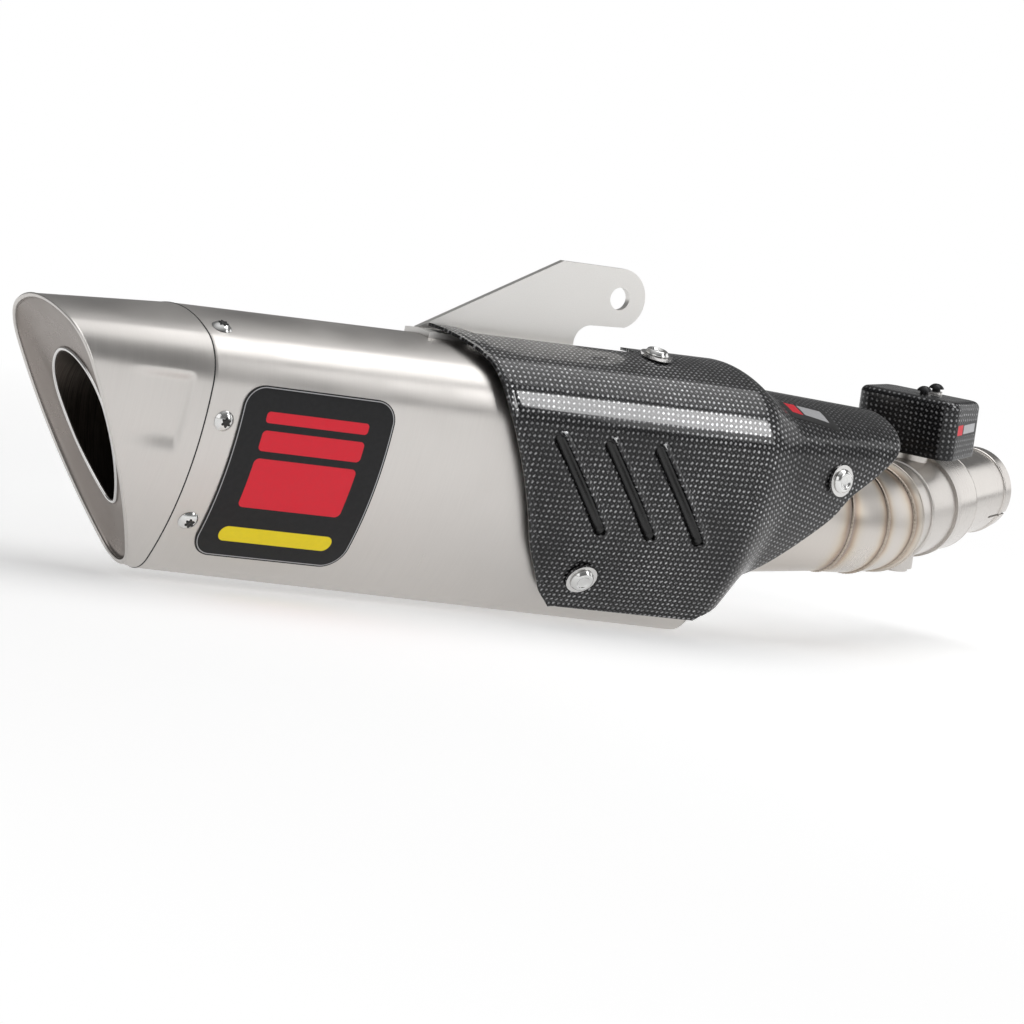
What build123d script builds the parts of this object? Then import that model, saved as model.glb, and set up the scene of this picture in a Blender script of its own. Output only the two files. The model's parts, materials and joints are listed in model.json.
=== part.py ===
from build123d import *
import os
from math import acos, asin, cos, degrees, radians, sin, sqrt

# Racing exhaust: silencer, heat shield, mounting bracket, exhaust valve and link pipe. Millimetres, degrees.
# Every piece is drawn in the silencer's frame: X runs along the silencer from the outlet to the inlet,
# X = 0 is the seam of the end cap, Z is up, and the heat shield is on the -Y side. The last step moves
# every piece so that the mouth of the link pipe is the origin.

# ---- Silencer body: its section is a rounded triangle of six tangent arcs ----
crown_turn = 26.0          # how far each arc of the section turns away from straight up
shoulder_turn = 94.0
flank_turn = 130.0
body_radii = (92.0, 26.0, 168.0)      # crown, shoulder and flank radius at the seam
body_top = 62.0            # crown height over the silencer's axis at the seam
body_growth = 0.0137       # how much the section grows outward for each mm toward the inlet
sleeve_length = 338.0
sleeve_wall = 1.2
axis_height = -8.0         # height of the gas path's centre

# ---- Outlet end cap, cut by a slanting plane ----
cap_radii = (70.0, 20.0, 150.0)       # section radii that the cap tapers toward
cap_reach = 80.0           # distance of that section from the seam
cap_drop = 4.8             # how far its crown lies below the sleeve's crown
cap_wall = 2.0
slash_back = 77.7          # length of the cap along its crown
slash_angle = 28.3         # lean of the cut away from square
flange_length = 20.0       # flange of the cap inside the sleeve
flange_overlap = 2.0       # how far it runs into the cap
flange_wall = 1.5
dish_depth = 6.0
dish_wall = 1.2
dish_edge_gap = 0.25
outlet_radii = (24.0, 29.0, 90.0)     # egg-shaped outlet, in the plane of the dish
outlet_top = -32.4         # its top, measured down the cut from the crown
outlet_wall = 1.2

# ---- Seam screws ----
seam_screw_x = 10.7
seam_screw_angles = (21.6, 100.0, 120.0)
seam_screw_diameter = 5.0
seam_head_diameter = 11.0
seam_head_height = 2.6
seam_nut_size = 10.0
seam_nut_height = 2.4
seam_nut_gap = 0.3         # between nut and flange, which is curved
seam_seat = 0.1            # under the heads, on the curved sleeve
seam_socket = 3.4

# ---- Badge plate on the sleeve ----
badge_x = (19.0, 108.0)
badge_z = (-63.0, 31.0)
badge_corner = 12.0
badge_thickness = 0.8

# ---- Inside the silencer ----
core_radius = 28.0
core_wall = 1.0
core_hole_diameter = 6.0
core_hole_rows = 16
core_hole_columns = 8
bulkhead_thickness = 1.5
outlet_bulkhead_x = 24.0
inlet_bulkhead_x = 328.0
packing_clearance = 0.4

# ---- Inlet: shoulder cone, neck cone and pie-cut elbow ----
shoulder_end_x = 366.0
shoulder_end_radii = (46.0, 26.0, 70.0)
shoulder_end_top = 33.0
neck_end_x = 430.0
pipe_radius = 31.0
pipe_wall = 1.2
bend_radius = 78.0
link_yaw = 30.0            # direction of the link pipe: turned toward +Y, and up
link_pitch = 6.0
elbow_pieces = 2

# ---- Slip ring, valve body, adapter and link pipe, measured along the link from the elbow's end ----
slip_ring_length = 9.0
slip_ring_radius = 33.0
valve_start = 3.0
valve_end = 69.0
valve_radius = 29.5
valve_bore_radius = 24.0
valve_rim_radius = 31.0
valve_rim_width = 5.0
adapter_end = 95.0
adapter_radius = 30.0
link_start = 84.0
adapter_bore_radius = 22.4      # its step stops the pipe that is pushed into the link
link_end = 159.0
link_radius = 25.4
link_wall = 1.5
link_bead_from_end = 10.0
link_bead_height = 0.9
slit_length = 26.0
slit_width = 1.6
slit_turns = (25.0, 205.0)  # round the link pipe
bead_sink = 0.6            # how deep the bead's centre lies in the wall

# ---- Exhaust valve ----
spindle_at = 55.0
spindle_diameter = 8.0
boss_radius = 10.0
boss_reach = 36.0          # bosses end this far from the link's axis
bush_radius = 6.0
bush_length = 9.0
running_gap = 0.03         # radial, between spindle and bushes
valve_rattle = 0.4         # radial, between disc and bore
disc_thickness = 2.5
disc_half_height = 22.4    # the disc is cut flat where the spindle leaves it
disc_screw_spacing = 22.0
disc_screw_diameter = 4.0
disc_head_diameter = 6.5
disc_head_height = 1.8
disc_socket = 2.5
disc_slot_gap = 0.06       # between disc and spindle slot
plug_depth = 2.5           # spindle plug inside the lower boss
plug_lip = 1.5
plug_head = 2.0
lower_bush_depth = 3.0     # how far the lower bush lies inside the boss
spindle_foot_gap = 0.7     # between plug and spindle
pulley_radius = 16.0
pulley_thickness = 7.0
pulley_rim = 2.0
pulley_groove = 3.0        # depth of its groove
pulley_hub_height = 4.0
pulley_hub_wall = 2.0
pocket_radius = 2.5        # pockets for the cable ends
pocket_inset = 4.0
shaft_fit = 0.01           # radial, pulley and nut on the spindle
spindle_over_nut = 2.0
pulley_from = 46.0         # height of the pulley's underside over the link's axis
nut_height = 4.0
nut_size = 10.0
spring_wire = 1.6
spring_radius = 7.5
spring_turns = 4.5
spring_gap = 0.3           # at either end of the spring
base_opening = 6.0         # radius of the hole for the spindle in the cover's base

# ---- Valve cover ----
cover_length = 42.0
cover_width = 62.0
cover_centre = 57.0        # along the link
cover_from = 38.0          # heights over the link's axis
cover_to = 70.0
cover_wall = 1.6
cover_corner = 11.0
cover_edge = 4.5
base_thickness = 2.0
bridge_width = 30.0
bridge_half_span = 24.0
bridge_top = 61.0
bridge_thickness = 2.0
bridge_pad_radius = 3.8
pad_gap = 0.3              # between the bridge's pads and the cover
base_inset = 0.5           # between the cover's base and its wall
cover_screw_places = ((-5.0, 4.0), (12.5, 4.0))      # along and across, from the cover's centre
cover_screw_diameter = 5.0
cover_head_diameter = 9.0
cover_head_height = 2.8
cover_socket = 3.6
head_seat = 0.05           # under screw heads on flat seats
label_thickness = 0.5
cover_label_size = (28.0, 8.0)
cover_label_drop = 2.0     # below the middle of the cover's side

# ---- Mounting bracket ----
bracket_y = 6.0
bracket_thickness = 4.0
bracket_hole = (272.0, 97.5)
bracket_hole_diameter = 12.5
bracket_end_radius = 16.5
bracket_peak = (232.0, 113.5)
bracket_toe = (148.0, 67.0)           # corners of the plate in X and Z
bracket_heel = (247.0, 70.0)
bracket_hollow = (250.2, 78.0)        # a point of the hollow corner over the heel
bracket_elbow = (258.0, 81.0)         # where that corner meets the arm's lower edge
bracket_round_x = 6.0      # the round end runs on this far past the hole's middle
bracket_root = 6.0         # the plate's blank starts this far below the sleeve's crown
foot_x = (146.0, 270.0)
foot_y = (-12.0, 14.0)
foot_thickness = 3.0

# ---- Heat shield ----
shield_gap = 4.0
shield_thickness = 1.6
shield_front = ((143.0, 76.0), (164.5, 62.0), (171.5, 37.5), (191.0, 0.0), (210.0, -38.0), (232.0, -66.0))
shield_bottom = -71.0
shield_bottom_x = (244.0, 334.0)
shield_main_end = 344.0
shield_step_x = 364.0
shield_step_radii = (110.0, 20.0, 110.0)
shield_step_top = 59.5
shield_tail_x = 456.0
shield_tail_radii = (60.0, 20.0, 80.0)
shield_tail_top = 56.0
shield_rear = ((352.0, -60.0), (383.0, -30.0), (410.0, -3.0), (415.5, 9.0), (430.0, 20.0), (449.0, 37.0))
shield_top_y = 10.0
lip_y = 1.5                # where the front lip ends, beside the bracket
cutout_x = (170.0, 279.0)
cutout_y = -13.0
slot_top = (204.5, 25.0)
slot_bottom = (250.0, -26.5)
slot_pitch = 32.0
slot_count = 3
slot_width = 5.5
shield_bolt_diameter = 6.0
shield_head_diameter = 13.6
shield_head_height = 4.0
washer_diameter = 18.0
washer_height = 1.6
grommet_diameter = 14.0
grommet_neck = 9.6         # diameter of its neck through the shield
grommet_height = 2.05
grommet_seat = 0.35        # between grommet and shield, which is curved
grommet_stand = 0.3        # how far its neck stands out of the shield
washer_seat = 0.35         # under the flat washers, on the curved shield
shield_hole = 10.0
shield_socket = 5.0
bolt_grip = 3.0            # length of bolt in its boss
bolt_hole_depth = 11.0     # of its hole, from the shield's skin
boss_diameter = 12.0
boss_reaches = (12.0, 12.0, 45.0)     # how far each boss reaches in from the shield's skin
body_bolts = ((250.0, -121.0), (287.0, -10.5))       # X and angle from straight up
tail_bolt = (402.0, 18.6)                            # X and Z
shield_label_x = (365.0, 398.0)
shield_label_thickness = 0.6
shield_label_y = (-46.0, -30.0)
shield_label_z = (30.0, 90.0)
label_trim = 0.04          # keeps the label's core clear of its ends
tail_bulge = 0.8           # the tail's side lies this far inside its widest line at the bolt

# ---- General clearances ----
bolt_gap = 0.1             # radial, screw in its hole
skin_gap = 0.05            # between curved skins that lie on each other
beyond = 250.0             # cutters reach this far, past every surface they cut
everywhere = (-beyond, beyond)


def closing_radius(radii):
    """Radius of the bottom arc that brings the section's two halves together."""
    crown, shoulder, flank = radii
    turns = [sin(radians(turn)) for turn in (crown_turn, shoulder_turn, flank_turn)]
    reach = crown * turns[0] + shoulder * (turns[1] - turns[0]) + flank * (turns[2] - turns[1])
    return reach / turns[2]


def section_point(radii, top, angle):
    """Point of the section whose outward normal is turned by angle from straight up."""
    across, height, before = 0.0, top, 0.0
    turns = (crown_turn, shoulder_turn, flank_turn, 180.0)
    for radius, turn in zip((*radii, closing_radius(radii)), turns):
        after = min(abs(angle), turn)
        across += radius * (sin(radians(after)) - sin(radians(before)))
        height += radius * (cos(radians(after)) - cos(radians(before)))
        before = after
    return (across if angle >= 0 else -across, height)


def section(plane, radii, top, grow=0.0):
    """Closed wire of the rounded triangle, moved outward by grow."""
    radii = tuple(radius + grow for radius in radii)
    joints = (-crown_turn, crown_turn, shoulder_turn, flank_turn, -flank_turn, -shoulder_turn, -crown_turn)
    edges = []
    for start, end in zip(joints, joints[1:]):
        middle = 180.0 if start == flank_turn else (start + end) / 2
        places = [section_point(radii, top + grow, angle) for angle in (start, middle, end)]
        edges.append(Edge.make_three_point_arc(*[Vector(*place) for place in places]))
    return plane * Wire(edges)


def across_x(x):
    """Plane square to X, with Y to its right and Z up."""
    return Plane(origin=(x, 0, 0), x_dir=(0, 1, 0), z_dir=(1, 0, 0))


def body_section(x, grow=0.0):
    return section(across_x(x), body_radii, body_top, grow + body_growth * x)


def body_solid(start, end, grow=0.0):
    return Solid.make_loft([body_section(start, grow), body_section(end, grow)], True)


def body_place(x, angle, grow=0.0):
    """Location on the silencer's skin, its Z along the outward normal and its X along the silencer."""
    grown = tuple(radius + grow + body_growth * x for radius in body_radii)
    y, z = section_point(grown, body_top + grow + body_growth * x, angle)
    outward = (0, sin(radians(angle)), cos(radians(angle)))
    return Plane(origin=(x, y, z), x_dir=(1, 0, 0), z_dir=outward).location


def block(x, y, z):
    """Box between pairs of limits."""
    size = [limits[1] - limits[0] for limits in (x, y, z)]
    middle = [(limits[1] + limits[0]) / 2 for limits in (x, y, z)]
    return Pos(*middle) * Box(*size)


def rod(radius, bottom, top, place=Location()):
    """Cylinder along its place's Z."""
    return place * Pos(0, 0, (bottom + top) / 2) * Cylinder(radius, top - bottom)


def tube(outer, inner, bottom, top, place=Location()):
    return rod(outer, bottom, top, place) - rod(inner, bottom - 1, top + 1, place)


def join(pieces):
    return Compound(children=list(pieces))


def button_screw(head_diameter, head_height, diameter, length, socket, place):
    """Button-head screw: the head's underside is at its place, with a hexagon socket in the dome."""
    dome_radius = (head_diameter ** 2 / 4 + head_height ** 2) / (2 * head_height)
    dome = Pos(0, 0, head_height - dome_radius) * Sphere(dome_radius)
    head = dome & rod(head_diameter / 2, 0, head_height)
    recess = Pos(0, 0, head_height * 0.45) * extrude(RegularPolygon(socket / 2, 6), head_height)
    return place * (head + rod(diameter / 2, -length, 0) - recess)


# ---- Outlet ----
slash_normal = (cos(radians(slash_angle)), 0, sin(radians(slash_angle)))
slash_origin = Vector(-slash_back, 0, body_top - cap_drop)


def slash_plane(depth=0.0):
    """Plane of the slanting cut, moved into the cap by depth; its own origin is at the crown."""
    return Plane(origin=slash_origin + Vector(*slash_normal) * depth, x_dir=(0, 1, 0), z_dir=slash_normal)


def cap_solid(grow):
    mouth = section(across_x(-cap_reach), cap_radii, body_top - cap_drop, grow)
    return Solid.make_loft([mouth, section(across_x(0), body_radii, body_top, grow)], True)


def behind_slash(solid, depth=0.0):
    """What lies inward of the slanting cut."""
    place = slash_plane(depth).location
    return solid & (place * Pos(0, 0, beyond) * Box(2 * beyond, 2 * beyond, 2 * beyond))


def end_cap():
    shell = behind_slash(cap_solid(0) - cap_solid(-cap_wall))
    seat = -sleeve_wall - skin_gap
    flange = (body_solid(-flange_overlap, flange_length, seat)
              - body_solid(-flange_overlap - 1, flange_length + 1, seat - flange_wall))
    cap = shell + (flange & cap_solid_and_beyond())
    return cap - seam_holes()


def cap_solid_and_beyond():
    """Everything inside the cap's outer skin, or past the seam."""
    return cap_solid(0) + block((0, beyond), everywhere, everywhere)


def outlet_dish():
    """Plate inside the cap, parallel to the cut, with the egg-shaped outlet in it."""
    inner = cap_solid(-cap_wall - dish_edge_gap)
    sheet = behind_slash(inner, dish_depth - dish_wall) - behind_slash(inner, dish_depth)
    return sheet - throat_bar(0.0) - block((-flange_overlap - dish_edge_gap, beyond), everywhere, everywhere)


def throat_bar(grow):
    """Bar with the outlet's section, running along X through the dish to the outlet bulkhead."""
    face = Face(section(slash_plane(dish_depth), outlet_radii, outlet_top, grow))
    return extrude(face, beyond, dir=(1, 0, 0)) + extrude(face, beyond, dir=(-1, 0, 0))


def outlet_tube():
    span = behind_slash(block((-beyond, outlet_bulkhead_x), everywhere, everywhere), dish_depth)
    return (throat_bar(-skin_gap) - throat_bar(-skin_gap - outlet_wall)) & span


# ---- Seam fasteners ----
def seam_places(grow=0.0):
    angles = [side * angle for angle in seam_screw_angles for side in (-1, 1)]
    return [body_place(seam_screw_x, angle, grow) for angle in angles]


def seam_holes():
    reach = seam_screw_diameter / 2 + bolt_gap
    return join([rod(reach, -6, 3, place) for place in seam_places()])


def seam_screws():
    length = sleeve_wall + flange_wall + seam_nut_height + skin_gap
    return join([button_screw(seam_head_diameter, seam_head_height, seam_screw_diameter, length,
                              seam_socket, place) for place in seam_places(seam_seat)])


def seam_nuts():
    top = -sleeve_wall - flange_wall - seam_nut_gap
    plate = Pos(0, 0, top - seam_nut_height / 2) * Box(seam_nut_size, seam_nut_size, seam_nut_height)
    plate -= rod(seam_screw_diameter / 2 + bolt_gap, -20, 3)
    return join([place * plate for place in seam_places()])


# ---- Silencer ----
def sleeve():
    shell = body_solid(0, sleeve_length) - body_solid(-1, sleeve_length + 1, -sleeve_wall)
    return shell - seam_holes() - shield_bolt_holes()


def badge_plate():
    sheet = body_solid(0, 120, badge_thickness + skin_gap) - body_solid(-1, 121, skin_gap)
    width = badge_x[1] - badge_x[0]
    height = badge_z[1] - badge_z[0]
    outline = Plane.XZ * Pos(sum(badge_x) / 2, sum(badge_z) / 2) * RectangleRounded(width, height,
                                                                                    badge_corner)
    return sheet & extrude(outline, 90)


def gas_path(x0, x1, radius):
    """Cylinder along X on the gas path's centre."""
    return Pos((x0 + x1) / 2, 0, axis_height) * Rot(0, 90, 0) * Cylinder(radius, x1 - x0)


def bulkhead(x, opening):
    grow = -sleeve_wall - skin_gap
    return body_solid(x, x + bulkhead_thickness, grow) - opening


def outlet_bulkhead():
    return bulkhead(outlet_bulkhead_x, gas_path(0, 60, core_radius + skin_gap))


def inlet_bulkhead():
    return bulkhead(inlet_bulkhead_x, gas_path(300, 360, core_radius + skin_gap))


def core_tube():
    start, end = outlet_bulkhead_x, shoulder_end_x - 4.0
    core = gas_path(start, end, core_radius) - gas_path(start - 1, end + 1, core_radius - core_wall)
    step = (inlet_bulkhead_x - outlet_bulkhead_x) / (core_hole_rows + 1)
    drills = []
    for row in range(core_hole_rows):
        for column in range(core_hole_columns // 2):
            turn = 360 / core_hole_columns * (column + 0.5 * (row % 2))
            x = outlet_bulkhead_x + step * (row + 1)
            drills.append(Pos(x, 0, axis_height) * Rot(turn, 0, 0) * Cylinder(core_hole_diameter / 2, 80))
    return core - drills


def packing():
    start = outlet_bulkhead_x + bulkhead_thickness + packing_clearance
    end = inlet_bulkhead_x - packing_clearance
    wool = body_solid(start, end, -sleeve_wall - packing_clearance)
    return wool - gas_path(start - 1, end + 1, core_radius + packing_clearance) - shield_bolt_holes()


# ---- Inlet ----
def shoulder_solid(grow):
    small = section(across_x(shoulder_end_x), shoulder_end_radii, shoulder_end_top, grow)
    return Solid.make_loft([body_section(sleeve_length, grow), small], True)


def neck_solid(grow):
    small = section(across_x(shoulder_end_x), shoulder_end_radii, shoulder_end_top, grow)
    ring = section(across_x(neck_end_x), (pipe_radius,) * 3, axis_height + pipe_radius, grow)
    return Solid.make_loft([small, ring], True)


def inlet_shoulder():
    return shoulder_solid(0) - shoulder_solid(-pipe_wall)


def inlet_neck():
    return neck_solid(0) - neck_solid(-pipe_wall)


link_direction = Vector(cos(radians(link_yaw)) * cos(radians(link_pitch)),
                        sin(radians(link_yaw)) * cos(radians(link_pitch)), sin(radians(link_pitch)))
bend_turn = degrees(acos(link_direction.X))
bend_side = (link_direction - Vector(link_direction.X, 0, 0)).normalized()
bend_start = Vector(neck_end_x, 0, axis_height)
bend_axis = Axis(bend_start + bend_side * bend_radius, Vector(1, 0, 0).cross(bend_side))
elbow_end = (bend_start + Vector(1, 0, 0) * bend_radius * sin(radians(bend_turn))
             + bend_side * bend_radius * (1 - cos(radians(bend_turn))))
link_side = link_direction.cross(Vector(0, 0, 1)).normalized()
link_up = link_side.cross(link_direction)


def link_place(along, across=0.0, up=0.0):
    """Location on the link: its Z runs along the link and its X points up from it."""
    origin = elbow_end + link_direction * along + link_side * across + link_up * up
    return Plane(origin=origin, x_dir=link_up, z_dir=link_direction).location


def valve_place(along=spindle_at, across=0.0, up=0.0):
    """Location on the link: its Z points up from it and its X runs along it."""
    origin = elbow_end + link_direction * along + link_side * across + link_up * up
    return Plane(origin=origin, x_dir=link_direction, z_dir=link_up).location


def elbow_segment(number):
    """One pie cut of the elbow: a slice of the bend, turned by its share of the bend."""
    share = bend_turn / elbow_pieces
    ring = Face(Wire.make_circle(pipe_radius)) - Face(Wire.make_circle(pipe_radius - pipe_wall))
    ring = Plane(origin=bend_start, x_dir=(0, 1, 0), z_dir=(1, 0, 0)) * ring
    piece = revolve(ring, bend_axis, share)
    return piece.rotate(bend_axis, share * number)


def slip_ring():
    """Flared ring at the elbow's end, which slips over the valve body's spigot."""
    place = link_place(0)
    ring = place * Pos(0, 0, slip_ring_length / 2) * Cone(pipe_radius, slip_ring_radius, slip_ring_length)
    return ring - rod(pipe_radius - pipe_wall, -1, slip_ring_length + 1, place)


# ---- Valve ----
def valve_body():
    along = link_place(0)
    barrel = rod(valve_radius, valve_start, valve_end, along)
    barrel += rod(valve_rim_radius, valve_end - valve_rim_width, valve_end, along)
    boss_foot = valve_place()
    barrel += rod(boss_radius, -boss_reach, boss_reach, boss_foot)
    barrel -= rod(valve_bore_radius, valve_start - 1, valve_end + 1, along)
    return barrel - rod(bush_radius, -boss_reach - 1, boss_reach + 1, boss_foot)


def spindle_bush(sign):
    """Bush in a boss, flush with the boss's end."""
    place = valve_place()
    ends = sorted((sign * (boss_reach - bush_length), sign * boss_reach))
    if sign < 0:
        ends = [end + lower_bush_depth for end in ends]
    return tube(bush_radius, spindle_diameter / 2 + running_gap, ends[0], ends[1], place)


def spindle_plug():
    """Plug that closes the lower boss."""
    place = valve_place()
    body = rod(bush_radius, -boss_reach, -boss_reach + plug_depth, place)
    return body + rod(bush_radius + plug_lip, -boss_reach - plug_head, -boss_reach, place)


def spindle():
    place = valve_place()
    foot = -boss_reach + plug_depth + spindle_foot_gap
    head = pulley_from + pulley_thickness + nut_height + spindle_over_nut
    shaft = rod(spindle_diameter / 2, foot, head, place)
    slot = place * Box(2 * valve_bore_radius, disc_thickness + disc_slot_gap,
                       2 * (disc_half_height + bolt_gap))
    return shaft - slot - disc_screw_holes()


def butterfly_disc():
    """Round disc through the spindle's slot, edge-on to the gas flow when the valve is open."""
    radius = valve_bore_radius - valve_rattle
    place = valve_place()
    disc = place * Rot(90, 0, 0) * Cylinder(radius, disc_thickness)
    window = place * Box(2 * radius, 2 * disc_thickness, 2 * disc_half_height)
    return (disc & window) - disc_screw_holes()


def disc_screw_places():
    return [valve_place() * Pos(0, -spindle_diameter / 2 - head_seat, side * disc_screw_spacing / 2)
            * Rot(90, 0, 0) for side in (-1, 1)]


def disc_screw_holes():
    reach = disc_screw_diameter / 2 + bolt_gap / 2
    return join([rod(reach, -2 * spindle_diameter, spindle_diameter, place) for place in disc_screw_places()])


def disc_screws():
    return join([button_screw(disc_head_diameter, disc_head_height, disc_screw_diameter,
                              spindle_diameter + 1.0,
                              disc_socket, place) for place in disc_screw_places()])


def cable_pulley():
    """Drum for the two control cables, with a groove, a hub and two cable-end pockets."""
    place = valve_place(up=pulley_from)
    drum = rod(pulley_radius, 0, pulley_thickness, place)
    groove = rod(2 * pulley_radius, pulley_rim, pulley_thickness - pulley_rim, place)
    groove -= rod(pulley_radius - pulley_groove, 0, pulley_thickness, place)
    pockets = [rod(pocket_radius, -1, pulley_thickness + 1,
                   place * Pos(side * (pulley_radius - pocket_inset), 0, 0))
               for side in (-1, 1)]
    hub = rod(spindle_diameter / 2 + pulley_hub_wall, -pulley_hub_height, 0, place)
    bore = rod(spindle_diameter / 2 + shaft_fit, -2 * pulley_hub_height, 2 * pulley_thickness, place)
    return drum + hub - groove - pockets - bore


def pulley_nut():
    place = valve_place(up=pulley_from + pulley_thickness)
    blank = place * extrude(RegularPolygon(nut_size / 2, 6), nut_height)
    return blank - rod(spindle_diameter / 2 + shaft_fit, -1, 2 * nut_height, place)


def return_spring():
    """Torsion coil round the pulley's hub, between the boss and the pulley."""
    floor = boss_reach + base_thickness + spring_wire / 2 + spring_gap
    room = pulley_from - floor - spring_wire / 2 - spring_gap
    path = Edge.make_helix(room / spring_turns, room, spring_radius)
    start = Plane(origin=path @ 0, z_dir=path % 0)
    coil = sweep(start * Circle(spring_wire / 2), path=path)
    return valve_place(up=floor) * coil


# ---- Valve cover ----
def cover_block(shrink, bottom):
    place = valve_place(cover_centre, 0, 0)
    height = cover_to - shrink - bottom
    slab = extrude(RectangleRounded(cover_length - 2 * shrink, cover_width - 2 * shrink,
                                    cover_corner - shrink), height)
    top_edges = slab.edges().group_by(Axis.Z)[-1]
    return place * Pos(0, 0, bottom) * fillet(top_edges, cover_edge - shrink)


def cover_screw_spots(up):
    return [valve_place(cover_centre + along, across, up) for along, across in cover_screw_places]


def valve_cover():
    shell = cover_block(0, cover_from) - cover_block(cover_wall, cover_from - 1)
    holes = [rod(cover_screw_diameter / 2 + bolt_gap, -9, 4, spot) for spot in cover_screw_spots(cover_to)]
    return shell - holes


def cover_base():
    place = valve_place(cover_centre, 0, boss_reach)
    inset = cover_wall + base_inset
    outline = RectangleRounded(cover_length - 2 * inset, cover_width - 2 * inset, cover_corner - cover_wall)
    plate = place * extrude(outline, base_thickness)
    return plate - rod(base_opening, boss_reach - 1, boss_reach + base_thickness + 1, valve_place())


def cover_bridge():
    """Folded strip over the pulley that the cover is screwed to."""
    floor = boss_reach + base_thickness
    place = valve_place(cover_centre, 0, 0)
    outer = place * block((-bridge_width / 2, bridge_width / 2), (-bridge_half_span, bridge_half_span),
                          (floor, bridge_top))
    inner_span = bridge_half_span - bridge_thickness
    inner = place * block((-bridge_width, bridge_width), (-inner_span, inner_span),
                          (floor - 1, bridge_top - bridge_thickness))
    holes = [rod(cover_screw_diameter / 2 + bolt_gap, -20, 9, spot) for spot in cover_screw_spots(bridge_top)]
    pads = [tube(bridge_pad_radius, cover_screw_diameter / 2 + bolt_gap, 0,
                 cover_to - cover_wall - pad_gap - bridge_top, spot) for spot in cover_screw_spots(bridge_top)]
    return outer - inner - holes + pads


def cover_screws():
    length = cover_to - bridge_top + bridge_thickness
    return join([button_screw(cover_head_diameter, cover_head_height, cover_screw_diameter, length,
                              cover_socket, spot)
                 for spot in cover_screw_spots(cover_to + head_seat)])


def cover_label():
    middle = (cover_from + cover_to) / 2 - cover_label_drop
    place = valve_place(cover_centre, cover_width / 2 + skin_gap, middle)
    return place * Pos(0, -label_thickness / 2, 0) * Box(cover_label_size[0], label_thickness,
                                                         cover_label_size[1])


# ---- Adapter and link pipe ----
def adapter_collar():
    place = link_place(0)
    collar = rod(adapter_radius, valve_end, adapter_end, place)
    collar = collar - rod(link_radius + running_gap, link_start, adapter_end + 1, place)
    return collar - rod(adapter_bore_radius, valve_end - 1, link_start + 1, place)


def link_pipe():
    place = link_place(0)
    pipe = rod(link_radius, link_start, link_end, place)
    bead_at = link_end - link_bead_from_end
    pipe += place * Pos(0, 0, bead_at) * Torus(link_radius - bead_sink, link_bead_height + bead_sink)
    pipe -= rod(link_radius - link_wall, link_start - 1, link_end + 1, place)
    middle = link_end - slit_length / 2
    for turn in slit_turns:
        slit = Pos(0, 0, middle + 1) * Rot(0, 0, turn) * Pos(0, link_radius, 0)
        pipe -= place * slit * Box(slit_width, 12, slit_length + 2)
    return pipe


# ---- Bracket ----
def mounting_bracket():
    hole_x, hole_z = bracket_hole
    low = body_top - bracket_root
    top_end = (hole_x, hole_z + bracket_end_radius)
    bottom_end = (hole_x + bracket_round_x, hole_z - sqrt(bracket_end_radius ** 2 - bracket_round_x ** 2))
    edges = [
        Edge.make_line((bracket_toe[0], low), bracket_toe),
        Edge.make_line(bracket_toe, bracket_peak),
        Edge.make_line(bracket_peak, top_end),
        Edge.make_three_point_arc(top_end, (hole_x + bracket_end_radius, hole_z), bottom_end),
        Edge.make_line(bottom_end, bracket_elbow),
        Edge.make_three_point_arc(bracket_elbow, bracket_hollow, bracket_heel),
        Edge.make_line(bracket_heel, (bracket_heel[0], low)),
        Edge.make_line((bracket_heel[0], low), (bracket_toe[0], low)),
    ]
    outline = Plane.XZ * Face(Wire(edges))
    plate = Pos(0, bracket_y, 0) * extrude(outline, bracket_thickness / 2, both=True)
    bore = Pos(hole_x, bracket_y, hole_z) * Rot(90, 0, 0) * Cylinder(bracket_hole_diameter / 2, 20)
    plate = plate - bore - body_solid(100, 300, skin_gap)
    foot = body_solid(100, 300, foot_thickness) - body_solid(99, 301, skin_gap)
    foot = foot & block(foot_x, foot_y, (20, 120))
    return plate + foot


# ---- Heat shield ----
def shield_side_region():
    """Prism along Y with the shield's outline seen from the side."""
    front = [Vector(x, z) for x, z in shield_front]
    bottom = [Vector(shield_bottom_x[0], shield_bottom), Vector(shield_bottom_x[1], shield_bottom)]
    rear = [Vector(x, z) for x, z in shield_rear]
    tail_top = Vector(shield_rear[-1][0], 100)
    edges = [
        Edge.make_spline([*front, bottom[0]]),
        Edge.make_line(bottom[0], bottom[1]),
        Edge.make_spline([bottom[1], *rear]),
        Edge.make_line(rear[-1], tail_top),
        Edge.make_line(tail_top, Vector(shield_front[0][0], 100)),
        Edge.make_line(Vector(shield_front[0][0], 100), front[0]),
    ]
    outline = Plane.XZ * Face(Wire(edges))
    return Pos(0, shield_top_y, 0) * extrude(outline, 120)


def shield_solid(grow):
    """Solid under the shield's skin: the grown body, a step down, and the tail that narrows to the elbow."""
    main = body_solid(130, shield_main_end, grow)
    edge = body_section(shield_main_end, grow)
    shift = grow - shield_gap - shield_thickness
    step = section(across_x(shield_step_x), shield_step_radii, shield_step_top, shift)
    tail = section(across_x(shield_tail_x), shield_tail_radii, shield_tail_top, shift)
    return main + Solid.make_loft([edge, step], True) + Solid.make_loft([step, tail], True)


def slot_cutter(number):
    """Slanting slot with round ends, cut straight through the near side."""
    x = (slot_top[0] + slot_bottom[0]) / 2 + slot_pitch * number
    z = (slot_top[1] + slot_bottom[1]) / 2
    rise = slot_top[1] - slot_bottom[1]
    run = slot_bottom[0] - slot_top[0]
    length = sqrt(rise ** 2 + run ** 2)
    angle = -degrees(asin(rise / length))
    outline = Plane.XZ * Pos(x, z) * Rot(0, 0, angle) * SlotOverall(length, slot_width)
    return extrude(outline, 100)


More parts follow.
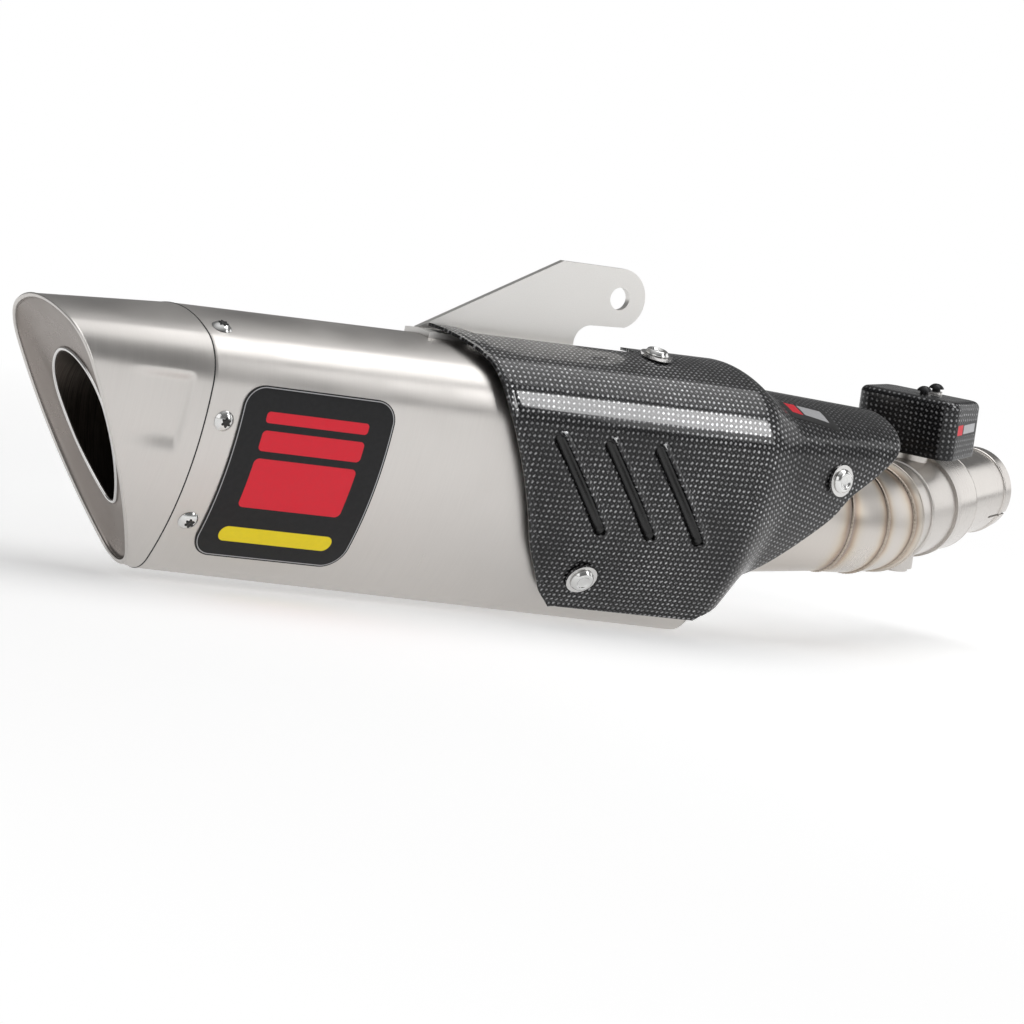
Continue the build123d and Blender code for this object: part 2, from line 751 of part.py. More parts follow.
def tail_bolt_place(lift=0.0):
    """Place on the tail's near side, its Z along the outward normal."""
    x, z = tail_bolt
    share = (x - shield_step_x) / (shield_tail_x - shield_step_x)
    y_step = section_point(shield_step_radii, shield_step_top, shoulder_turn)[0]
    y_tail = section_point(shield_tail_radii, shield_tail_top, shoulder_turn)[0]
    slope = (y_step - y_tail) / (shield_tail_x - shield_step_x)
    y = -(y_step + (y_tail - y_step) * share) + tail_bulge
    outward = Vector(slope, -1, 0).normalized()
    return Plane(origin=Vector(x, y, z) + outward * lift, x_dir=(0, 0, 1), z_dir=outward).location


def shield_bolt_places(lift=0.0):
    """Places of the three bolts, lifted from the shield's outer skin."""
    skin = shield_gap + shield_thickness
    places = [body_place(x, angle, skin + lift) for x, angle in body_bolts]
    return [*places, tail_bolt_place(lift)]


def shield_bolt_holes():
    """Holes in the sleeve, and hollows in the packing, for the ends of the two bolts that meet them."""
    return [rod(shield_bolt_diameter / 2 + bolt_gap, -bolt_hole_depth, 0, place)
            for place in shield_bolt_places()[:len(body_bolts)]]


def shield_spot_faces():
    """Flat seats in the shield for each washer outside and each grommet inside."""
    outside = [rod(washer_diameter / 2 + bolt_gap, head_seat - skin_gap, washer_height, place)
               for place in shield_bolt_places(washer_seat)]
    inside = [rod(grommet_diameter / 2 + bolt_gap, -2 * shield_gap, skin_gap - shield_thickness - grommet_seat,
                  place) for place in shield_bolt_places()]
    return outside + inside


def heat_shield():
    shell = shield_solid(shield_gap + shield_thickness) - shield_solid(shield_gap)
    shell = shell & shield_side_region()
    shell -= block(cutout_x, (cutout_y, 60), (40, 130))
    shell -= block((120, cutout_x[0] + 1), (lip_y, 60), (40, 130))
    shell -= [slot_cutter(number) for number in range(slot_count)]
    shell -= shield_spot_faces()
    return shell - [rod(shield_hole / 2, -8, 8, place) for place in shield_bolt_places()]


def shield_washers():
    return join([tube(washer_diameter / 2, shield_bolt_diameter / 2 + bolt_gap, head_seat, washer_height,
                      place)
                 for place in shield_bolt_places(washer_seat)])


def shield_bolts():
    length = shield_gap + shield_thickness + washer_height + bolt_grip
    return join([button_screw(shield_head_diameter, shield_head_height, shield_bolt_diameter, length,
                              shield_socket, place)
                 for place in shield_bolt_places(washer_seat + washer_height + head_seat)])


def shield_grommets():
    """Spacer behind the shield at each bolt, with a neck through the shield."""
    top = -shield_thickness - grommet_seat
    pieces = []
    for place in shield_bolt_places():
        ring = rod(grommet_diameter / 2, top - grommet_height, top, place)
        neck = rod(grommet_neck / 2, top - grommet_height / 2, grommet_stand, place)
        pieces.append(ring + neck - rod(shield_bolt_diameter / 2 + bolt_gap, -12, 3, place))
    return join(pieces)


def shield_bosses():
    """Threaded bosses welded to the sleeve, and a long one to the neck, that the bolts screw into."""
    top = -shield_thickness - grommet_seat - grommet_height - head_seat
    body = body_solid(200, sleeve_length, skin_gap) + shoulder_solid(skin_gap) + neck_solid(skin_gap)
    pieces = []
    for place, reach in zip(shield_bolt_places(), boss_reaches):
        post = tube(boss_diameter / 2, shield_bolt_diameter / 2 + bolt_gap, -reach, top, place)
        pieces.append(biggest(post - body))
    return join(pieces)


def biggest(shape):
    """The outermost solid that is left of a cut."""
    return max(shape.solids(), key=lambda solid: abs(solid.center().Y))


def shield_label():
    sheet = Solid.make_loft([section(across_x(shield_step_x), shield_step_radii, shield_step_top,
                                     skin_gap + shield_label_thickness),
                             section(across_x(shield_tail_x), shield_tail_radii, shield_tail_top,
                                     skin_gap + shield_label_thickness)], True)
    core = Solid.make_loft([section(across_x(shield_step_x - 1), shield_step_radii,
                                    shield_step_top + label_trim,
                                    skin_gap),
                            section(across_x(shield_tail_x + 1), shield_tail_radii,
                                    shield_tail_top - label_trim,
                                    skin_gap)], True)
    return (sheet - core) & block(shield_label_x, shield_label_y, shield_label_z)


# ---- All pieces ----
pieces = {
    "end_cap": end_cap(),
    "outlet_dish": outlet_dish(),
    "outlet_tube": outlet_tube(),
    "sleeve": sleeve(),
    "seam_screws": seam_screws(),
    "seam_nuts": seam_nuts(),
    "badge_plate": badge_plate(),
    "outlet_bulkhead": outlet_bulkhead(),
    "inlet_bulkhead": inlet_bulkhead(),
    "core_tube": core_tube(),
    "packing": packing(),
    "inlet_shoulder": inlet_shoulder(),
    "inlet_neck": inlet_neck(),
    "slip_ring": slip_ring(),
    "valve_body": valve_body(),
    "upper_bush": spindle_bush(1),
    "lower_bush": spindle_bush(-1),
    "spindle_plug": spindle_plug(),
    "spindle": spindle(),
    "butterfly_disc": butterfly_disc(),
    "disc_screws": disc_screws(),
    "cable_pulley": cable_pulley(),
    "pulley_nut": pulley_nut(),
    "return_spring": return_spring(),
    "cover_base": cover_base(),
    "cover_bridge": cover_bridge(),
    "valve_cover": valve_cover(),
    "cover_screws": cover_screws(),
    "cover_label": cover_label(),
    "adapter_collar": adapter_collar(),
    "link_pipe": link_pipe(),
    "mounting_bracket": mounting_bracket(),
    "heat_shield": heat_shield(),
    "shield_washers": shield_washers(),
    "shield_bolts": shield_bolts(),
    "shield_grommets": shield_grommets(),
    "shield_bosses": shield_bosses(),
    "shield_label": shield_label(),
}
for number in range(elbow_pieces):
    pieces[f"elbow_segment_{number + 1}"] = elbow_segment(number)

mouth = link_place(link_end).position
os.makedirs("parts", exist_ok=True)
for name, piece in pieces.items():
    export_step(Pos(*(-mouth)) * piece, f"parts/{name}.step")
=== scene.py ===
"""Racing exhaust: detailed surfaces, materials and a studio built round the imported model."""
import json

import bmesh
import bpy
import numpy as np
from mathutils import Matrix, Vector


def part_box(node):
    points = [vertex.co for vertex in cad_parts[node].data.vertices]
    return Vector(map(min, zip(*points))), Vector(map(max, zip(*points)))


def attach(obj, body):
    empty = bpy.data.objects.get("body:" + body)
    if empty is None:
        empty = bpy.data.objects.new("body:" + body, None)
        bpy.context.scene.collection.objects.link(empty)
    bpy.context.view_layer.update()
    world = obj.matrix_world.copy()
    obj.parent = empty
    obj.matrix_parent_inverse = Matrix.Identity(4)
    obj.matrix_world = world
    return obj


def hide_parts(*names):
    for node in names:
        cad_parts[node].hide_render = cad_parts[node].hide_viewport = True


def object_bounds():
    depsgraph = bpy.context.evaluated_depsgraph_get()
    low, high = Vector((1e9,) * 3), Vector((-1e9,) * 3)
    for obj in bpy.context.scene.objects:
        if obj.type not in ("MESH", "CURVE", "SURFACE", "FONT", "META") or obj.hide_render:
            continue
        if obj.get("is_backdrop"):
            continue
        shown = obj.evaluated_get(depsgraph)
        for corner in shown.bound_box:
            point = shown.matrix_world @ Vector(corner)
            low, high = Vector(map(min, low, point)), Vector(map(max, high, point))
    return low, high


bl_info = {
    "name": "Racing Exhaust",
    "version": (1, 0, 0),
    "blender": (4, 5, 0),
    "location": "View3D > Sidebar > Exhaust",
    "description": "Builds the surfaces, materials and studio of a racing exhaust round its packed frame",
    "category": "Object",
}

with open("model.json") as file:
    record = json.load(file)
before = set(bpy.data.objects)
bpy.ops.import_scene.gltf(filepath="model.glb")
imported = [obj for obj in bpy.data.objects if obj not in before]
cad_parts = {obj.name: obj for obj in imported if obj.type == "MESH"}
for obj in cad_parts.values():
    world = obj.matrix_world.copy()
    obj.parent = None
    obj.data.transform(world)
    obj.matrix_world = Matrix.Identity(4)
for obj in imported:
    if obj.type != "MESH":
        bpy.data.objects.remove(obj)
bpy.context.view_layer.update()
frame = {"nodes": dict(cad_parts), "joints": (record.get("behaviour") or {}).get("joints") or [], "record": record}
NODES = frame["nodes"]
MM = 0.001
BODY = "exhaust"

# The section of the silencer: how far each of its arcs turns from straight up, and its radii in millimetres
TURNS = np.radians((26.0, 94.0, 130.0, 180.0))
BODY_RADII = np.array((92.0, 26.0, 168.0))
BODY_TOP = 62.0
GROWTH = 0.0137
SLEEVE_LENGTH = 338.0
CAP_RADII = np.array((70.0, 20.0, 150.0))
CAP_REACH = 80.0
CAP_TOP = 57.2
SLASH = np.radians(28.3)
SLASH_NORMAL = np.array((np.cos(SLASH), 0.0, np.sin(SLASH)))
SLASH_UP = np.array((-np.sin(SLASH), 0.0, np.cos(SLASH)))
SLASH_POINT = np.array((-77.7, 0.0, CAP_TOP))
OUTLET_RADII = np.array((24.0, 29.0, 90.0))
OUTLET_TOP = -32.4
OUTLET_DEPTH = 6.0
BRACKET_HOLE = np.array((272.0, 6.0, 97.5))
SHIELD_KNOTS = np.array((130.0, 344.0, 364.0, 456.0))
SHIELD_GROW = 5.6
SHIELD_WALL = 1.6
TAIL_RADII = np.array(((110.0, 20.0, 110.0), (60.0, 20.0, 80.0)))
TAIL_TOPS = (59.5, 56.0)

RECORD = frame["record"]
MOUNTS = {mount["name"]: mount for mount in RECORD["mounts"]}
ORIGIN = np.array(MOUNTS["bracket_hole"]["pos_m"]) - BRACKET_HOLE * MM
LINK = Vector(MOUNTS["inlet"]["axis"]).normalized()
JOINT = frame["joints"][0]
LINK_UP = Vector(JOINT["axis"]).normalized()
LINK_SIDE = LINK.cross(LINK_UP)
LINK_LENGTH = 159.0
ELBOW_END = -LINK * LINK_LENGTH * MM
ELBOW_START = ORIGIN + np.array((430.0, 0.0, -8.0)) * MM
ELBOW_BEND = 78.0 * MM
BEAD_RADIUS = 30.8 * MM


# ---- Surfaces ----
def last_radius(radii):
    """Radius of the section's last arc: the one that brings both halves together at the bottom."""
    sines = np.sin(TURNS[:3])
    steps = np.diff(np.concatenate([[0.0], sines]))
    return (radii * steps).sum(-1) / sines[2]


def section(radii, top, angles):
    """Across, up and length along the rounded triangle.

    Going out from the crown, each arc adds its radius times the change in sine across, and times the
    change in cosine up.
    """
    radii = np.asarray(radii, float)
    closing = last_radius(radii)
    size = np.abs(angles)
    across, up, length = 0.0, top, 0.0
    for arc in range(4):
        radius = closing if arc == 3 else radii[..., arc]
        start = TURNS[arc - 1] if arc else 0.0
        end = np.clip(size, start, TURNS[arc])
        across = across + radius * (np.sin(end) - np.sin(start))
        up = up + radius * (np.cos(end) - np.cos(start))
        length = length + radius * (end - start)
    side = np.sign(angles)
    return side * across, up, side * length


def angle_at_length(radii, length):
    """Angle that lies the given length along the section: each arc takes up its radius times its turn."""
    closing = last_radius(radii)
    left, angle = np.abs(length), 0.0
    for arc in range(4):
        radius = closing if arc == 3 else radii[..., arc]
        turn = TURNS[arc] - (TURNS[arc - 1] if arc else 0.0)
        used = np.clip(left, 0.0, radius * turn)
        angle = angle + used / radius
        left = left - used
    return np.sign(length) * angle


def even_angles(radii, count):
    """Angles round the section at equal lengths."""
    dense = np.linspace(-np.pi, np.pi, 1441)
    length = section(radii, 0.0, dense)[2]
    return np.interp(np.linspace(length[0], length[-1], count + 1)[:-1], length, dense)


def body_skin(x, angles, grow=0.0):
    """Sleeve's skin: the section with every radius larger by the same amount, in silencer millimetres."""
    swell = GROWTH * x + grow
    y, z, length = section(BODY_RADII + swell[..., None], BODY_TOP + swell, angles)
    return np.stack([x + 0 * y, y, z], -1), length


def to_row(points):
    """From silencer millimetres to the row frame in metres."""
    return points * MM + ORIGIN


def ease(value):
    """Smooth step from 0 to 1."""
    value = np.clip(value, 0.0, 1.0)
    return value * value * (3.0 - 2.0 * value)


def quads_of(rows, columns, around, along):
    """Quads of a grid of points, closed on itself around its columns or along its rows."""
    row = np.arange(rows if along else rows - 1)
    column = np.arange(columns if around else columns - 1)
    r, c = np.meshgrid(row, column, indexing="ij")
    r1, c1 = (r + 1) % rows, (c + 1) % columns
    corners = (r * columns + c, r1 * columns + c, r1 * columns + c1, r * columns + c1)
    return np.stack(corners, -1).reshape(-1, 4)


def make_mesh(name, points, quads, uv=None, closed=True):
    """Mesh of quads. A closed one gets its doubles merged and its normals turned outward."""
    mesh = bpy.data.meshes.new(name)
    mesh.vertices.add(len(points))
    mesh.vertices.foreach_set("co", np.ascontiguousarray(points, np.float32).ravel())
    mesh.loops.add(quads.size)
    mesh.loops.foreach_set("vertex_index", quads.ravel().astype(np.int32))
    mesh.polygons.add(len(quads))
    mesh.polygons.foreach_set("loop_start", np.arange(0, quads.size, 4, dtype=np.int32))
    mesh.update(calc_edges=True)
    if uv is not None:
        layer = mesh.uv_layers.new(name="cloth")
        layer.data.foreach_set("uv", uv.reshape(-1, 2)[quads.ravel()].astype(np.float32).ravel())
    mesh.validate()
    if closed:
        work = bmesh.new()
        work.from_mesh(mesh)
        bmesh.ops.remove_doubles(work, verts=work.verts, dist=2e-7)
        bmesh.ops.recalc_face_normals(work, faces=work.faces)
        work.to_mesh(mesh)
        work.free()
    mesh.shade_smooth()
    return mesh


def add_piece(name, mesh, material, body=BODY, replaces=()):
    """Puts a finished mesh in the scene, on its body and in place of its plain CAD nodes."""
    piece = bpy.data.objects.new(name, mesh)
    bpy.context.scene.collection.objects.link(piece)
    mesh.materials.append(material)
    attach(piece, body)
    if replaces:
        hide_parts(*replaces)
    return piece


def loft(name, rows, **kwargs):
    """Closed shell from a loop of rows, each row a closed ring of points."""
    points = np.stack(rows)
    quads = quads_of(points.shape[0], points.shape[1], True, True)
    return make_mesh(name, points.reshape(-1, 3), quads, **kwargs)


def bead(name, centres, outward, side, radii, turns=12):
    """Round bead along a closed line: each ring is its centre plus cosine outward and sine sideways."""
    angle = np.linspace(0, 2 * np.pi, turns, endpoint=False)
    cosine, sine = np.cos(angle)[None, :, None], np.sin(angle)[None, :, None]
    ring = cosine * outward[:, None, :] + sine * side[:, None, :]
    points = centres[:, None, :] + radii[:, None, None] * ring
    return make_mesh(name, points.reshape(-1, 3), quads_of(len(centres), turns, True, True))


def lathe(profile, places, count=48):
    """Turned pieces: each point of the profile goes round its place's axis. The ends lie on the axis."""
    turn = np.linspace(0, 2 * np.pi, count, endpoint=False)
    r, z = np.asarray(profile, float).T
    ring = np.stack([r[:, None] * np.cos(turn), r[:, None] * np.sin(turn), z[:, None] + 0 * turn], -1)
    quads = quads_of(len(r), count, True, False)
    points, faces = [], []
    for index, place in enumerate(places):
        matrix = np.array(place)
        points.append(ring.reshape(-1, 3) * MM @ matrix[:3, :3].T + matrix[:3, 3])
        faces.append(quads + index * ring.shape[0] * count)
    return np.concatenate(points), np.concatenate(faces)


# ---- Materials ----
def put(tree, kind, inputs=None, **settings):
    """New shader node with its inputs linked or set."""
    made = tree.nodes.new(kind)
    for name, value in settings.items():
        setattr(made, name, value)
    for name, value in (inputs or {}).items():
        if isinstance(value, bpy.types.NodeSocket):
            tree.links.new(value, made.inputs[name])
        else:
            made.inputs[name].default_value = value
    return made


def calc(tree, operation, *values):
    """Number worked out from one or two numbers."""
    return put(tree, "ShaderNodeMath", dict(enumerate(values)), operation=operation).outputs[0]


def join(tree, operation, first, second):
    """Vector worked out from two vectors."""
    return put(tree, "ShaderNodeVectorMath", {0: first, 1: second}, operation=operation).outputs[0]


def dot(tree, vector, direction):
    """How far the vector reaches along the direction."""
    made = put(tree, "ShaderNodeVectorMath", {0: vector, 1: direction}, operation="DOT_PRODUCT")
    return made.outputs["Value"]


def noise(tree, where, scale, detail=2.0, roughness=0.5):
    """Cloudy noise: its value under Fac and its three values under Color."""
    return put(tree, "ShaderNodeTexNoise", {"Vector": where, "Scale": scale, "Detail": detail,
                                            "Roughness": roughness}).outputs


def bump(tree, shader, height, distance, strength):
    """Lets a height map lean the shader's normals."""
    made = put(tree, "ShaderNodeBump", {"Strength": strength, "Distance": distance, "Height": height})
    tree.links.new(made.outputs[0], shader.inputs["Normal"])


def blend(tree, factor, first, second, mode="MIX"):
    """Mix of two colours."""
    made = put(tree, "ShaderNodeMix", data_type="RGBA", blend_type=mode)
    for socket, value in ((0, factor), (6, first), (7, second)):
        if isinstance(value, bpy.types.NodeSocket):
            tree.links.new(value, made.inputs[socket])
        else:
            made.inputs[socket].default_value = value
    return made.outputs[2]


def spread(tree, value, low, high, to_low, to_high):
    """Value carried from one range to another."""
    return put(tree, "ShaderNodeMapRange", {"Value": value, "From Min": low, "From Max": high,
                                            "To Min": to_low, "To Max": to_high}).outputs["Result"]


def new_group(name, inputs, outputs):
    """Empty node group with its sockets."""
    tree = bpy.data.node_groups.new(name, "ShaderNodeTree")
    for label, kind, default in inputs:
        socket = tree.interface.new_socket(name=label, in_out="INPUT", socket_type=kind)
        if default is not None:
            socket.default_value = default
    for label, kind in outputs:
        tree.interface.new_socket(name=label, in_out="OUTPUT", socket_type=kind)
    return tree, tree.nodes.new("NodeGroupInput").outputs, tree.nodes.new("NodeGroupOutput").inputs


def brushed_group():
    """Fine brush lines: noise drawn out along the brushing, with a slower cloud of handling over it."""
    tree, given, out = new_group("Brushed grain", [
        ("Vector", "NodeSocketVector", None), ("Stretch", "NodeSocketVector", (1.0, 1.0, 1.0))],
        [("Lines", "NodeSocketFloat"), ("Cloud", "NodeSocketFloat")])
    drawn = join(tree, "MULTIPLY", given["Vector"], given["Stretch"])
    tree.links.new(noise(tree, drawn, 1.0, 5.0, 0.65)["Fac"], out["Lines"])
    tree.links.new(noise(tree, given["Vector"], 22.0, 3.0)["Fac"], out["Cloud"])
    return tree


def tint_group():
    """Heat colours beside a weld: straw, then brown, then a dull violet as the closeness goes to 1."""
    tree, given, out = new_group("Heat tint", [
        ("Closeness", "NodeSocketFloat", 0.0), ("Metal", "NodeSocketColor", (0.6, 0.58, 0.55, 1))],
        [("Color", "NodeSocketColor")])
    ramp = put(tree, "ShaderNodeValToRGB", {"Fac": given["Closeness"]})
    stops = ramp.color_ramp.elements
    stops[0].position, stops[0].color = 0.0, (1, 1, 1, 1)
    stops[1].position, stops[1].color = 1.0, (0.52, 0.47, 0.46, 1)
    tints = ((0.35, (0.97, 0.93, 0.86, 1)), (0.62, (0.84, 0.74, 0.63, 1)), (0.82, (0.66, 0.55, 0.47, 1)))
    for place, colour in tints:
        stops.new(place).color = colour
    tree.links.new(blend(tree, 1.0, given["Metal"], ramp.outputs["Color"], "MULTIPLY"), out["Color"])
    return tree


def weave_group():
    """Plain weave: square cells show warp and weft in turn, each tow rounded and tapered at its ends."""
    tree, given, out = new_group("Plain weave", [
        ("Vector", "NodeSocketVector", None), ("Pitch", "NodeSocketFloat", 1.6)],
        [("Painted glint", "NodeSocketFloat"), ("Height", "NodeSocketFloat")])
    parts = put(tree, "ShaderNodeSeparateXYZ", {0: given["Vector"]}).outputs
    cell_x = calc(tree, "DIVIDE", parts[0], given["Pitch"])
    cell_y = calc(tree, "DIVIDE", parts[1], given["Pitch"])
    place_x, place_y = calc(tree, "FRACT", cell_x), calc(tree, "FRACT", cell_y)
    odd = calc(tree, "ADD", calc(tree, "FLOOR", cell_x), calc(tree, "FLOOR", cell_y))
    parity = calc(tree, "FLOORED_MODULO", odd, 2.0)
    wave_x = calc(tree, "SINE", calc(tree, "MULTIPLY", place_x, np.pi))
    wave_y = calc(tree, "SINE", calc(tree, "MULTIPLY", place_y, np.pi))
    warp = calc(tree, "MULTIPLY", calc(tree, "POWER", wave_x, 0.5), wave_y)
    weft = calc(tree, "MULTIPLY", wave_x, calc(tree, "POWER", wave_y, 0.5))
    height = calc(tree, "ADD", calc(tree, "MULTIPLY", warp, parity),
                  calc(tree, "MULTIPLY", weft, calc(tree, "SUBTRACT", 1.0, parity)))
    # Painted glint: warp tows, and faintly weft tows, get a lighter base colour standing in for the light they
    # reflect; the weave pattern itself is real.
    warp_painted_glint = calc(tree, "MULTIPLY", calc(tree, "POWER", warp, 2.5), parity)
    weft_painted_glint = calc(tree, "MULTIPLY", calc(tree, "POWER", weft, 4.0), calc(tree, "SUBTRACT", 1.0, parity))
    painted_glint = calc(tree, "ADD", warp_painted_glint, calc(tree, "MULTIPLY", weft_painted_glint, 0.12))
    tree.links.new(painted_glint, out["Painted glint"])
    tree.links.new(height, out["Height"])
    return tree


def material(name):
    """New material, its tree and its Principled shader."""
    made = bpy.data.materials.new(name)
    made.use_nodes = True
    tree = made.node_tree
    return made, tree, tree.nodes["Principled BSDF"]


def metal(name, groups, colour, rough, stretch, line_height=0.000004, line_colour=0.02, cloud_rough=0.06,
          spin=(0.0, 0.0, 0.0)):
    """Brushed or blasted metal: brush lines and cloud shift its colour, roughness and height a little."""
    made, tree, shader = material(name)
    where = put(tree, "ShaderNodeTexCoord").outputs["Object"]
    where = put(tree, "ShaderNodeMapping", {"Vector": where, "Rotation": spin}).outputs[0]
    grain = put(tree, "ShaderNodeGroup", node_tree=groups["brushed"])
    tree.links.new(where, grain.inputs["Vector"])
    grain.inputs["Stretch"].default_value = stretch
    lines, cloud = grain.outputs["Lines"], grain.outputs["Cloud"]
    dark = tuple(channel * (1 - 2 * line_colour) for channel in colour[:3]) + (1,)
    shade = blend(tree, spread(tree, lines, 0.3, 0.7, 0.0, 1.0), dark, tuple(colour[:3]) + (1,))
    roughness = calc(tree, "ADD", spread(tree, cloud, 0.3, 0.7, rough - cloud_rough, rough + cloud_rough),
                     spread(tree, lines, 0.3, 0.7, -0.03, 0.03))
    shader.inputs["Metallic"].default_value = 1.0
    tree.links.new(shade, shader.inputs["Base Color"])
    tree.links.new(roughness, shader.inputs["Roughness"])
    bump(tree, shader, lines, line_height, 0.5)
    return made, tree, shader, shade


def tinted_metal(name, groups, colour, rough, stretch, welds, spin=(0.0, 0.0, 0.0)):
    """Brushed metal with heat colours either side of each weld, given as a point, an axis and a width."""
    made, tree, shader, shade = metal(name, groups, colour, rough, stretch, spin=spin)
    where = put(tree, "ShaderNodeTexCoord").outputs["Object"]
    ragged = spread(tree, noise(tree, where, 90.0)["Fac"], 0.0, 1.0, -1.5 * MM, 1.5 * MM)
    closeness = None
    for point, axis, width in welds:
        away = join(tree, "SUBTRACT", where, tuple(point))
        along = calc(tree, "ADD", dot(tree, away, tuple(axis)), ragged)
        share = calc(tree, "DIVIDE", along, width)
        one = calc(tree, "EXPONENT", calc(tree, "MULTIPLY", calc(tree, "MULTIPLY", share, share), -1.0))
        closeness = one if closeness is None else calc(tree, "MAXIMUM", closeness, one)
    heat = put(tree, "ShaderNodeGroup", node_tree=groups["tint"])
    tree.links.new(closeness, heat.inputs["Closeness"])
    tree.links.new(shade, heat.inputs["Metal"])
    tree.links.new(heat.outputs["Color"], shader.inputs["Base Color"])
    return made


def carbon(name, groups, pitch, painted_glint_grey):
    """Carbon cloth under clear lacquer, on the piece's own UV map: under a smooth coat the weave's tows carry
    painted glint, a lighter grey base colour.
    """
    made, tree, shader = material(name)
    cloth_uv = put(tree, "ShaderNodeUVMap", uv_map="cloth").outputs[0]
    where = put(tree, "ShaderNodeTexCoord").outputs["Object"]
    bent = join(tree, "MULTIPLY", noise(tree, where, 25.0, 1.0)["Color"], (1.1, 1.1, 0.0))
    ragged = join(tree, "MULTIPLY", noise(tree, cloth_uv, 0.35)["Color"], (1.3, 1.3, 0.0))
    moved = join(tree, "ADD", join(tree, "ADD", cloth_uv, bent), ragged)
    turned = put(tree, "ShaderNodeMapping", {"Vector": moved, "Rotation": (0.0, 0.0, np.pi / 4)})
    cloth = put(tree, "ShaderNodeGroup", node_tree=groups["weave"])
    tree.links.new(turned.outputs[0], cloth.inputs["Vector"])
    cloth.inputs["Pitch"].default_value = pitch
    speck = noise(tree, cloth_uv, 0.8, 3.0)["Fac"]
    patch = noise(tree, where, 14.0)["Fac"]
    strength = calc(tree, "MULTIPLY", spread(tree, speck, 0.35, 0.65, 0.12, 1.0),
                    spread(tree, patch, 0.35, 0.7, 0.3, 1.0))
    painted_glint = calc(tree, "MULTIPLY", cloth.outputs["Painted glint"], strength)
    colour = blend(tree, painted_glint, (0.0025, 0.0025, 0.003, 1), (painted_glint_grey, painted_glint_grey, painted_glint_grey * 1.02, 1))
    tree.links.new(colour, shader.inputs["Base Color"])
    tree.links.new(spread(tree, painted_glint, 0.0, 1.0, 0.45, 0.28), shader.inputs["Roughness"])
    bump(tree, shader, cloth.outputs["Height"], 0.25 * MM, 0.6)
    for socket, value in (("Metallic", 0.6), ("Specular IOR Level", 0.15), ("Coat Weight", 0.5),
                          ("Coat Roughness", 0.07)):
        shader.inputs[socket].default_value = value
    return made


def plain_finish(name, colour, rough, metallic=0.0, scale=400.0, height=0.00003):
    """Moulded, oxided or rubbery surface with fine grain and slight unevenness of its colour."""
    made, tree, shader = material(name)
    grain = noise(tree, put(tree, "ShaderNodeTexCoord").outputs["Object"], scale, 4.0)["Fac"]
    light = tuple(min(1.0, channel * 1.25 + 0.004) for channel in colour[:3]) + (1,)
    mixed = blend(tree, spread(tree, grain, 0.35, 0.65, 0.0, 1.0), tuple(colour[:3]) + (1,), light)
    tree.links.new(mixed, shader.inputs["Base Color"])
    tree.links.new(spread(tree, grain, 0.3, 0.7, rough - 0.05, rough + 0.05), shader.inputs["Roughness"])
    bump(tree, shader, grain, height, 0.4)
    shader.inputs["Metallic"].default_value = metallic
    return made


def edge_of_box(tree, x, y, half_x, half_y, corner):
    """Distance to a box with round corners: below zero inside it."""
    over_x = calc(tree, "SUBTRACT", calc(tree, "ABSOLUTE", x), half_x - corner)
    over_y = calc(tree, "SUBTRACT", calc(tree, "ABSOLUTE", y), half_y - corner)
    out_x, out_y = calc(tree, "MAXIMUM", over_x, 0.0), calc(tree, "MAXIMUM", over_y, 0.0)
    outside = calc(tree, "SQRT", calc(tree, "ADD", calc(tree, "MULTIPLY", out_x, out_x),
                                      calc(tree, "MULTIPLY", out_y, out_y)))
    inside = calc(tree, "MINIMUM", calc(tree, "MAXIMUM", over_x, over_y), 0.0)
    return calc(tree, "SUBTRACT", calc(tree, "ADD", outside, inside), corner)


def cover_mask(tree, distance):
    """One where the distance is below zero, with a soft edge 0.3 mm wide."""
    return spread(tree, distance, 0.15, -0.15, 0.0, 1.0)


def mark_material(name, centre, right, up, ground, marks, border=None):
    """Printed plate: plain shapes over a ground colour, in millimetres from the plate's centre."""
    made, tree, shader = material(name)
    where = put(tree, "ShaderNodeTexCoord").outputs["Object"]
    away = join(tree, "SUBTRACT", where, tuple(centre))
    x = calc(tree, "MULTIPLY", dot(tree, away, tuple(right)), 1 / MM)
    y = calc(tree, "MULTIPLY", dot(tree, away, tuple(up)), 1 / MM)
    colour = ground
    if border:
        half_x, half_y, corner, wide, tone = border
        edge = edge_of_box(tree, x, y, half_x, half_y, corner)
        band = calc(tree, "SUBTRACT", calc(tree, "ABSOLUTE", edge), wide / 2)
        colour = blend(tree, cover_mask(tree, band), colour, tone)
    for at_x, at_y, half_x, half_y, corner, tone in marks:
        edge = edge_of_box(tree, calc(tree, "SUBTRACT", x, at_x), calc(tree, "SUBTRACT", y, at_y),
                           half_x, half_y, corner)
        colour = blend(tree, cover_mask(tree, edge), colour, tone)
    grain = noise(tree, where, 350.0, 3.0)["Fac"]
    dusty = blend(tree, spread(tree, grain, 0.4, 0.6, 0.0, 0.03), colour, (0.08, 0.08, 0.08, 1))
    tree.links.new(dusty, shader.inputs["Base Color"])
    tree.links.new(spread(tree, grain, 0.3, 0.7, 0.30, 0.40), shader.inputs["Roughness"])
    shader.inputs["Specular IOR Level"].default_value = 0.3
    return made


class ExhaustLooks(bpy.types.PropertyGroup):
    """Finishes of the metal and the cloth"""
    titanium: bpy.props.FloatVectorProperty(
        name="Titanium", description="Colour of the sleeve and cap", default=(0.65, 0.625, 0.60),
        size=3, subtype="COLOR", min=0, max=1)
    titanium_roughness: bpy.props.FloatProperty(
        name="Titanium roughness", description="Roughness of the brushing", default=0.36,
        min=0.05, max=1.0, subtype="FACTOR")
    weave_pitch: bpy.props.FloatProperty(
        name="Weave pitch", description="Width of one tow in millimetres", default=2.25, min=0.5, max=6.0)
    emblem: bpy.props.FloatVectorProperty(
        name="Stripes", description="Colour of the badge's plain stripes", default=(0.72, 0.012, 0.03),
        size=3, subtype="COLOR", min=0, max=1)
    bar: bpy.props.FloatVectorProperty(
        name="Bar", description="Colour of the plain bar under the stripes", default=(0.86, 0.68, 0.01),
        size=3, subtype="COLOR", min=0, max=1)


